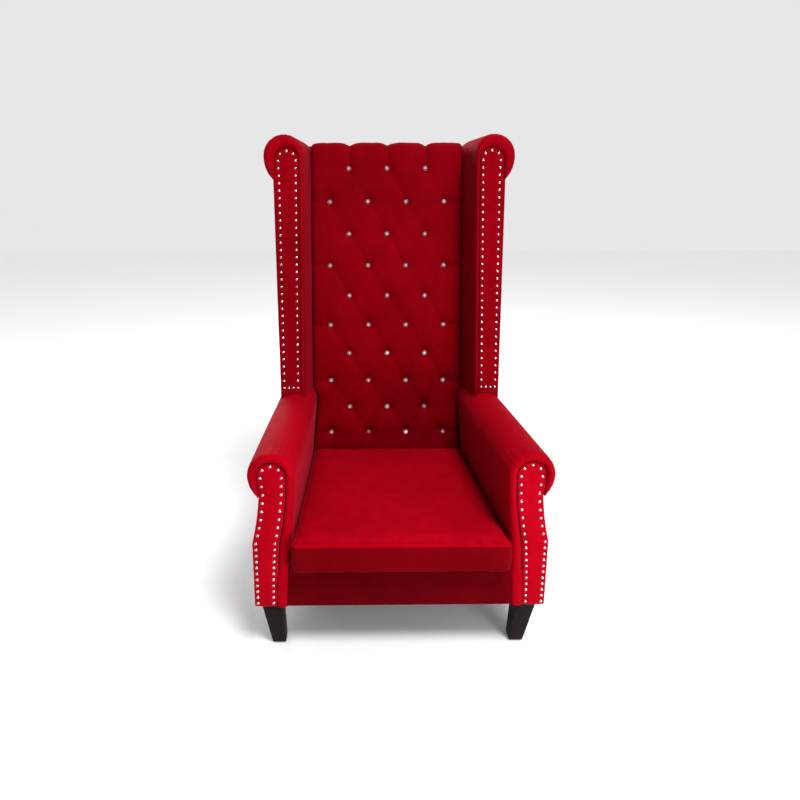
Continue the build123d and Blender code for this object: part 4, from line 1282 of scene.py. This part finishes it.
# %% Crystal buttons and their cups
stone, stone_keys = stone_tree()
CRYSTAL_R = 7.5 * MM
CUP_R = 9 * MM
STONE_HEIGHT = 4.4 * MM
values = {"Radius": CRYSTAL_R, "Table": CRYSTAL_R * 0.55, "Height": STONE_HEIGHT, "Sides": 10,
          "Facing": FACING_LEAN, "Material": crystal}
seats = [p - OUT_OF_BACK * STONE_HEIGHT for p in crystals]
dress(grow_from("crystal_stones", seats, [], stone, stone_keys, values), "crystal_buttons", slot="crystal")
values = {"Radius": CUP_R, "Table": CUP_R - 0.9 * MM, "Height": 3 * MM, "Sides": 20, "Facing": FACING_LEAN,
          "Material": nail_metal}
seats = [p - OUT_OF_BACK * 7.5 * MM for p in crystals]
dress(grow_from("stone_cups", seats, [], stone, stone_keys, values), "button_cups", slot="nail_metal")

# %% [markdown]
# ## Seat cushion
# The cushion is a foam block in a velvet case, boxed, with a stitched seam along its top front edge. It
# starts as a rounded slab a little smaller than its space. Cloth pressure then fills it, which draws its
# edges in, so it is stretched back to its own box. Its seams, the droop of the front and the small flare
# of the front corners are shaped after that.

# %% Slabs and inflation
cushion_low, cushion_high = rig.box("seat_cushion_cover")


def rounded_slab(name, low, high, radius, material, body, cuts=24, taper=0.0, crown=0.0):
    """A block with rounded edges; taper narrows it towards the back, crown lifts its middle."""
    shape = bmesh.new()
    bmesh.ops.create_cube(shape, size=2)
    bmesh.ops.subdivide_edges(shape, edges=shape.edges, cuts=cuts, use_grid_fill=True)
    centre, half = (Vector(low) + Vector(high)) / 2, (Vector(high) - Vector(low)) / 2
    core = half - Vector((radius, radius, radius))
    for vert in shape.verts:
        spot = Vector(vert.co[k] * half[k] for k in range(3))
        inner = Vector(max(-core[k], min(core[k], spot[k])) for k in range(3))
        away = spot - inner
        spot = inner + away.normalized() * radius if away.length > 0 else spot
        u, v = spot.x / half.x, spot.y / half.y
        spot.z += crown * (1 - u * u) * (1 - v * v) * (1 if spot.z > 0 else 0)
        spot.x -= math.copysign(1, spot.x) * taper * (spot.y + half.y) * abs(u)
        vert.co = spot + centre
    mesh = bpy.data.meshes.new(name)
    bmesh.ops.recalc_face_normals(shape, faces=shape.faces)
    shape.to_mesh(mesh)
    shape.free()
    mesh.shade_smooth()
    mesh.materials.append(material)
    piece = bpy.data.objects.new(name, mesh)
    bpy.context.scene.collection.objects.link(piece)
    piece["body"] = body
    return piece


def coords(mesh):
    values = np.zeros(len(mesh.vertices) * 3)
    mesh.vertices.foreach_get("co", values)
    return values.reshape(-1, 3)


def keep_modifier(piece):
    """Turns what the modifiers show into the piece's own mesh."""
    graph = bpy.context.evaluated_depsgraph_get()
    result = bpy.data.meshes.new_from_object(piece.evaluated_get(graph))
    piece.modifiers.clear()
    piece.data = result
    return piece


def inflate(piece, voxel, pressure, most):
    """Remesh, fill by cloth pressure, limit each point's travel, and smooth once."""
    remesh = piece.modifiers.new("even", "REMESH")
    remesh.mode = "VOXEL"
    remesh.voxel_size = voxel
    keep_modifier(piece)
    rest = coords(piece.data)
    cloth = piece.modifiers.new("fill", "CLOTH")
    cloth.settings.use_pressure = True
    cloth.settings.uniform_pressure_force = pressure
    cloth.settings.effector_weights.gravity = 0
    cloth.settings.quality = 4
    for number in range(1, 21):
        bpy.context.scene.frame_set(number)
    keep_modifier(piece)
    bpy.context.scene.frame_set(1)
    moved = coords(piece.data)
    travel = moved - rest
    far = np.linalg.norm(travel, axis=1)[:, None]
    moved = rest + travel * np.minimum(1, most / np.maximum(far, 1e-9))
    piece.data.vertices.foreach_set("co", moved.ravel())
    smooth = piece.modifiers.new("smooth", "SUBSURF")
    smooth.levels = smooth.render_levels = 1
    keep_modifier(piece)
    piece.data.shade_smooth()
    return piece


SEAM_DROP = 13 * MM


def sew_seams(piece):
    """Sinks a seam round the boxing near top and bottom, and lets the overhanging front droop a little."""
    points = coords(piece.data)
    normals = np.array([tuple(v.normal) for v in piece.data.vertices])
    side = np.clip((np.linalg.norm(normals[:, :2], axis=1) - 0.35) / 0.3, 0, 1)
    move = np.zeros(len(points))
    for height in (cushion_high.z - SEAM_DROP, cushion_low.z + SEAM_DROP):
        gap = points[:, 2] - height
        move += side * (0.9 * MM * np.exp(-((abs(gap) - 6.5 * MM) / (3 * MM)) ** 2))
        move -= side * 2.9 * MM * np.exp(-(gap / (3 * MM)) ** 2)
    move += 0.7 * MM * lumps(points, 26.0, 51.0) + 0.9 * MM * lumps(points, 7.0, 57.0)
    points += normals * move[:, None]
    ahead = np.clip((ARM_FRONT_Y - 4 * MM - points[:, 1]) / (30 * MM), 0, 1)
    low_part = np.clip((cushion_high.z - points[:, 2]) / (cushion_high.z - cushion_low.z), 0, 1)
    points[:, 2] -= 7 * MM * ahead * low_part
    points[:, 0] += 6 * MM * ahead * np.clip(points[:, 0] / cushion_high.x, -1, 1) ** 3
    piece.data.vertices.foreach_set("co", points.ravel())
    piece.data.update()


def fit_box(piece, low, high):
    """Stretches a piece so that its box is the one given: cloth draws its edges in as it fills."""
    points = coords(piece.data)
    now_low, now_high = points.min(0), points.max(0)
    points = np.array(low) + (points - now_low) * (np.array(high) - np.array(low)) / (now_high - now_low)
    piece.data.vertices.foreach_set("co", points.ravel())
    piece.data.update()


def make_cushion():
    inset = Vector((3 * MM, 5 * MM, 5 * MM))
    full = Vector((2.5 * MM, 0, 0))
    lift = Vector((0, 0, 3 * MM))
    low, high = cushion_low + inset, cushion_high - inset
    # The case takes the seat copy of the velvet: painted lighter on top, with painted shade on its front and sides.
    piece = rounded_slab("seat_cushion_case", low, high, 20 * MM, velvet_seat, "seat_cushion", 30,
                         ARM_SPLAY, 5 * MM)
    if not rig.quick():
        inflate(piece, 7 * MM, 4.0, 8 * MM)
    fit_box(piece, cushion_low - full, cushion_high + full + lift)
    sew_seams(piece)
    return piece


cushion = make_cushion()
print("cushion box", coords(cushion.data).min(0).round(3), coords(cushion.data).max(0).round(3))
dress(cushion, "seat_cushion_cover", fill=0.85)

# %% Topstitching
STITCH_LONG = 5.0 * MM
STITCH_PITCH = 7.5 * MM
STITCH_R = 0.55 * MM
STITCH_OFF = 5.5 * MM


def stitch_tree():
    graph, keys = new_tree("stitches", (("Pitch", "Float"), ("Material", "Material")))
    path = graph.node("GeometryNodeMeshToCurve", {}, {"Mesh": graph.node("NodeGroupInput", out="Places")})
    pitch = graph.node("NodeGroupInput", out="Pitch")
    even = graph.node("GeometryNodeResampleCurve", {"mode": "LENGTH"}, {"Curve": path, "Length": pitch})
    spots = graph.node("GeometryNodeCurveToPoints", {"mode": "EVALUATED"}, {"Curve": even})
    turns = Signal(graph, spots.socket.node.outputs["Rotation"])
    bead = graph.node("GeometryNodeMeshUVSphere", {}, {"Segments": 8, "Rings": 6, "Radius": STITCH_R})
    stretch = (1.0, 1.0, STITCH_LONG / STITCH_R / 2)
    long = graph.node("GeometryNodeTransform", {}, {"Geometry": bead, "Scale": stretch})
    sockets = {"Points": spots, "Instance": long, "Rotation": turns}
    laid = graph.node("GeometryNodeInstanceOnPoints", {}, sockets)
    end_tree(graph, laid, True)
    return graph.tree, keys


def seam_path(piece, height):
    """Points round the cushion's side at a height, each found by looking in from outside."""
    faces = [p.vertices for p in piece.data.polygons]
    shape = BVHTree.FromPolygons([v.co for v in piece.data.vertices], faces)
    middle = Vector(((cushion_low.x + cushion_high.x) / 2, (cushion_low.y + cushion_high.y) / 2, height))
    found = []
    for turn in np.linspace(0, math.tau, 1400, endpoint=False):
        out = Vector((math.cos(turn), math.sin(turn), 0))
        hit = shape.ray_cast(middle + out, -out)[0]
        if hit:
            found.append(hit + out * 0.1 * MM)
    return found


def sew(piece, name, height):
    path = seam_path(piece, height)
    holder = grow_from(name, path, [(i, (i + 1) % len(path)) for i in range(len(path))], *stitch_tree(),
                       {"Pitch": STITCH_PITCH, "Material": velvet_seat})
    holder["body"] = "seat_cushion"
    dress(holder)


for name, offset in (("seam_stitches_upper", STITCH_OFF), ("seam_stitches_lower", -STITCH_OFF)):
    sew(cushion, name, cushion_high.z - SEAM_DROP + offset)

# %% Foam core, back foam and deck


def back_foam_block():
    """The foam slab behind the tufted cover, leaning with the back."""
    heights = np.linspace(cover_low.z + 6 * MM, BACK_TOP_Z - 20 * MM, 30)
    half = cover_half_width(heights) - 9 * MM
    share = np.linspace(-1, 1, 20)
    x = half[:, None] * share
    z = np.broadcast_to(heights[:, None], x.shape)
    edge = np.minimum(half[:, None] * (1 - abs(share)), np.minimum(z - heights[0], heights[-1] - z))
    front = np.stack([x, back_y(z) + 16.5 * MM + edge_fall(edge, 6 * MM), z], -1)
    back = np.stack([x, back_y(z) + 47.5 * MM, z], -1)
    return two_sided("back_foam_slab", front, back, foam)


dress(back_foam_block(), "back_foam", slot="foam", fill=0.9)
foam_inset = Vector((19 * MM, 20 * MM, 14 * MM))
core = rounded_slab("cushion_foam_core", cushion_low + foam_inset, cushion_high - foam_inset, 16 * MM, foam,
                    "seat_cushion", 12, ARM_SPLAY)
dress(core, "seat_cushion_foam", slot="foam", fill=0.9)
deck_low, deck_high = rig.box("seat_deck_pad")
deck = rounded_slab("seat_platform", deck_low, deck_high, 9 * MM, platform_cloth, "chair", 24, ARM_SPLAY)
dress(deck, "seat_deck_pad", slot="velvet", fill=0.6)

# %% Apron


def make_apron():
    """The strip of velvet below the cushion, with the long sideways creases of cloth pulled tight."""
    heights = np.linspace(BASE_Z, DECK_Z, 34)
    half = np.interp(heights, [BASE_Z, ARM_ROLL[1]], [319 * MM, ARM_ROLL[0] - ARM_ROLL_R]) - 0.5 * MM
    share = np.linspace(-1, 1, 120)
    x = half[:, None] * share
    z = np.broadcast_to(heights[:, None], x.shape)
    from_end = np.minimum(z - BASE_Z, DECK_Z - z)
    creases = lumps(np.stack([x * 4, z * 0, z * 60], -1).reshape(-1, 3), 1.0, 41.0).reshape(x.shape)
    lift = 1.5 * MM * np.clip(from_end / 0.03, 0, 1) + creases * 1.6 * MM * np.clip(from_end / 0.02, 0, 1)
    y = ARM_FRONT_Y + 2.5 * MM - lift + edge_fall(from_end, 3.5 * MM)
    front = np.stack([x, y, z], -1)
    back = np.stack([x, np.full_like(x, apron_high.y), z], -1)
    # The apron takes the darkest copy of the velvet, a painted shade.
    return two_sided("seat_apron", front, back, velvet_low)


dress(make_apron(), "front_apron", fill=0.4)

# %% [markdown]
# ## Legs
# Four square tapered legs. A loft between two squares with softened corners, lightly bevelled at the
# foot, catches the thin highlight that a stained and lacquered leg has along its edges.

# %% Legs


def make_leg(node, name):
    """Rings of a rounded square from the foot to the top, read from the design's own leg."""
    points = coords(frame["nodes"][node].data)
    low, high = points[:, 2].min(), points[:, 2].max()
    foot, top = points[points[:, 2] < low + 1e-4], points[points[:, 2] > high - 1e-4]
    rings = []
    for share in (0.0, 0.015, 0.06, 0.3, 0.55, 0.8, 1.0):
        a, b = foot.min(0) * (1 - share) + top.min(0) * share, foot.max(0) * (1 - share) + top.max(0) * share
        centre, half = (a + b) / 2, (b - a) / 2
        half = half[:2] - (1.5 * MM if share == 0 else 0)
        soft = 3 * MM
        ring = []
        for sx, sy, start in ((1, 1, 0), (-1, 1, 90), (-1, -1, 180), (1, -1, 270)):
            for degrees in np.linspace(0, 90, 5):
                turn = math.radians(start + degrees)
                ring.append((centre[0] + sx * (half[0] - soft) + soft * math.cos(turn),
                             centre[1] + sy * (half[1] - soft) + soft * math.sin(turn),
                             low + (high - low) * share))
        rings.append(ring)
    grid = np.array(rings)
    count = grid.shape[1]
    flat = grid.reshape(-1, 3)
    faces = grid_faces(len(rings), count, wrap=True)
    faces += [tuple(range(count)), tuple(range(len(flat) - count, len(flat)))]
    return make_piece(name, flat, faces, leg_wood)


for word in ("front_leg_right", "front_leg_left", "rear_leg_right", "rear_leg_left"):
    dress(make_leg(word, word.replace("leg", "turned_leg")), word, slot="leg_wood")

# %% [markdown]
# ## Thin cloths
# Two thin cloths are stretched flat inside: black lining under the frame, and the cloth that keeps the
# springs off the deck pad.

# %% Stretched cloths


def thin_cloth(name, node, material, sag, flat_size):
    low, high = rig.box(node)
    rows, columns = 24, 28
    y = np.linspace(low.y, high.y, rows)[:, None] + np.zeros(columns)
    half = (high.x - ARM_SPLAY * (y - low.y))
    x = half * np.linspace(-1, 1, columns)
    dip = sag * (1 - np.linspace(-1, 1, columns) ** 2) * (1 - np.linspace(-1, 1, rows)[:, None] ** 2)
    top = np.stack([x, y, high.z - dip], -1)
    under = np.stack([x, y, low.z - dip], -1)
    piece = two_sided(name, top, under, material)
    dress(piece, node, slot="lining")
    rails = ["front_seat_rail", "rear_seat_rail"]
    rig.sheet(piece, flat=flat_size(low, high), held="stretched", rests_on=rails)


def wide_and_long(low, high):
    return (high.x - low.x, high.y - low.y)


thin_cloth("base_cloth", "dust_cover", lining, 3 * MM, wide_and_long)
thin_cloth("spring_cloth", "seat_deck_cloth", lining, 0.0, wide_and_long)

# %% Finishes on the pieces that stay as designed
FINISH_OF = {
    "frame_wood": ("back_post", "rail", "corner_blocks"),
    "plywood": ("board",),
    "steel": ("spring", "bolts"),
    "glide_plastic": ("glides",),
    "webbing": ("webbing", "twines"),
    "lining": ("zipper",),
}
LOOKS = {"frame_wood": frame_wood, "plywood": plywood, "steel": steel, "glide_plastic": glide_plastic,
         "webbing": webbing, "lining": lining}
for name, node in frame["nodes"].items():
    if node.hide_render:
        continue
    for look, words in FINISH_OF.items():
        if any(word in name for word in words):
            if not node.material_slots:
                node.data.materials.append(LOOKS[look])
            for slot in node.material_slots:
                slot.material = LOOKS[look]
            print(name, "->", look)

low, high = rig.bounds()
with open("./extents.json", "w") as out:
    json.dump({"design": [list(design_low), list(design_high)], "looks": [list(low), list(high)]}, out)
print("looks box", tuple(round(v, 3) for v in low), tuple(round(v, 3) for v in high))
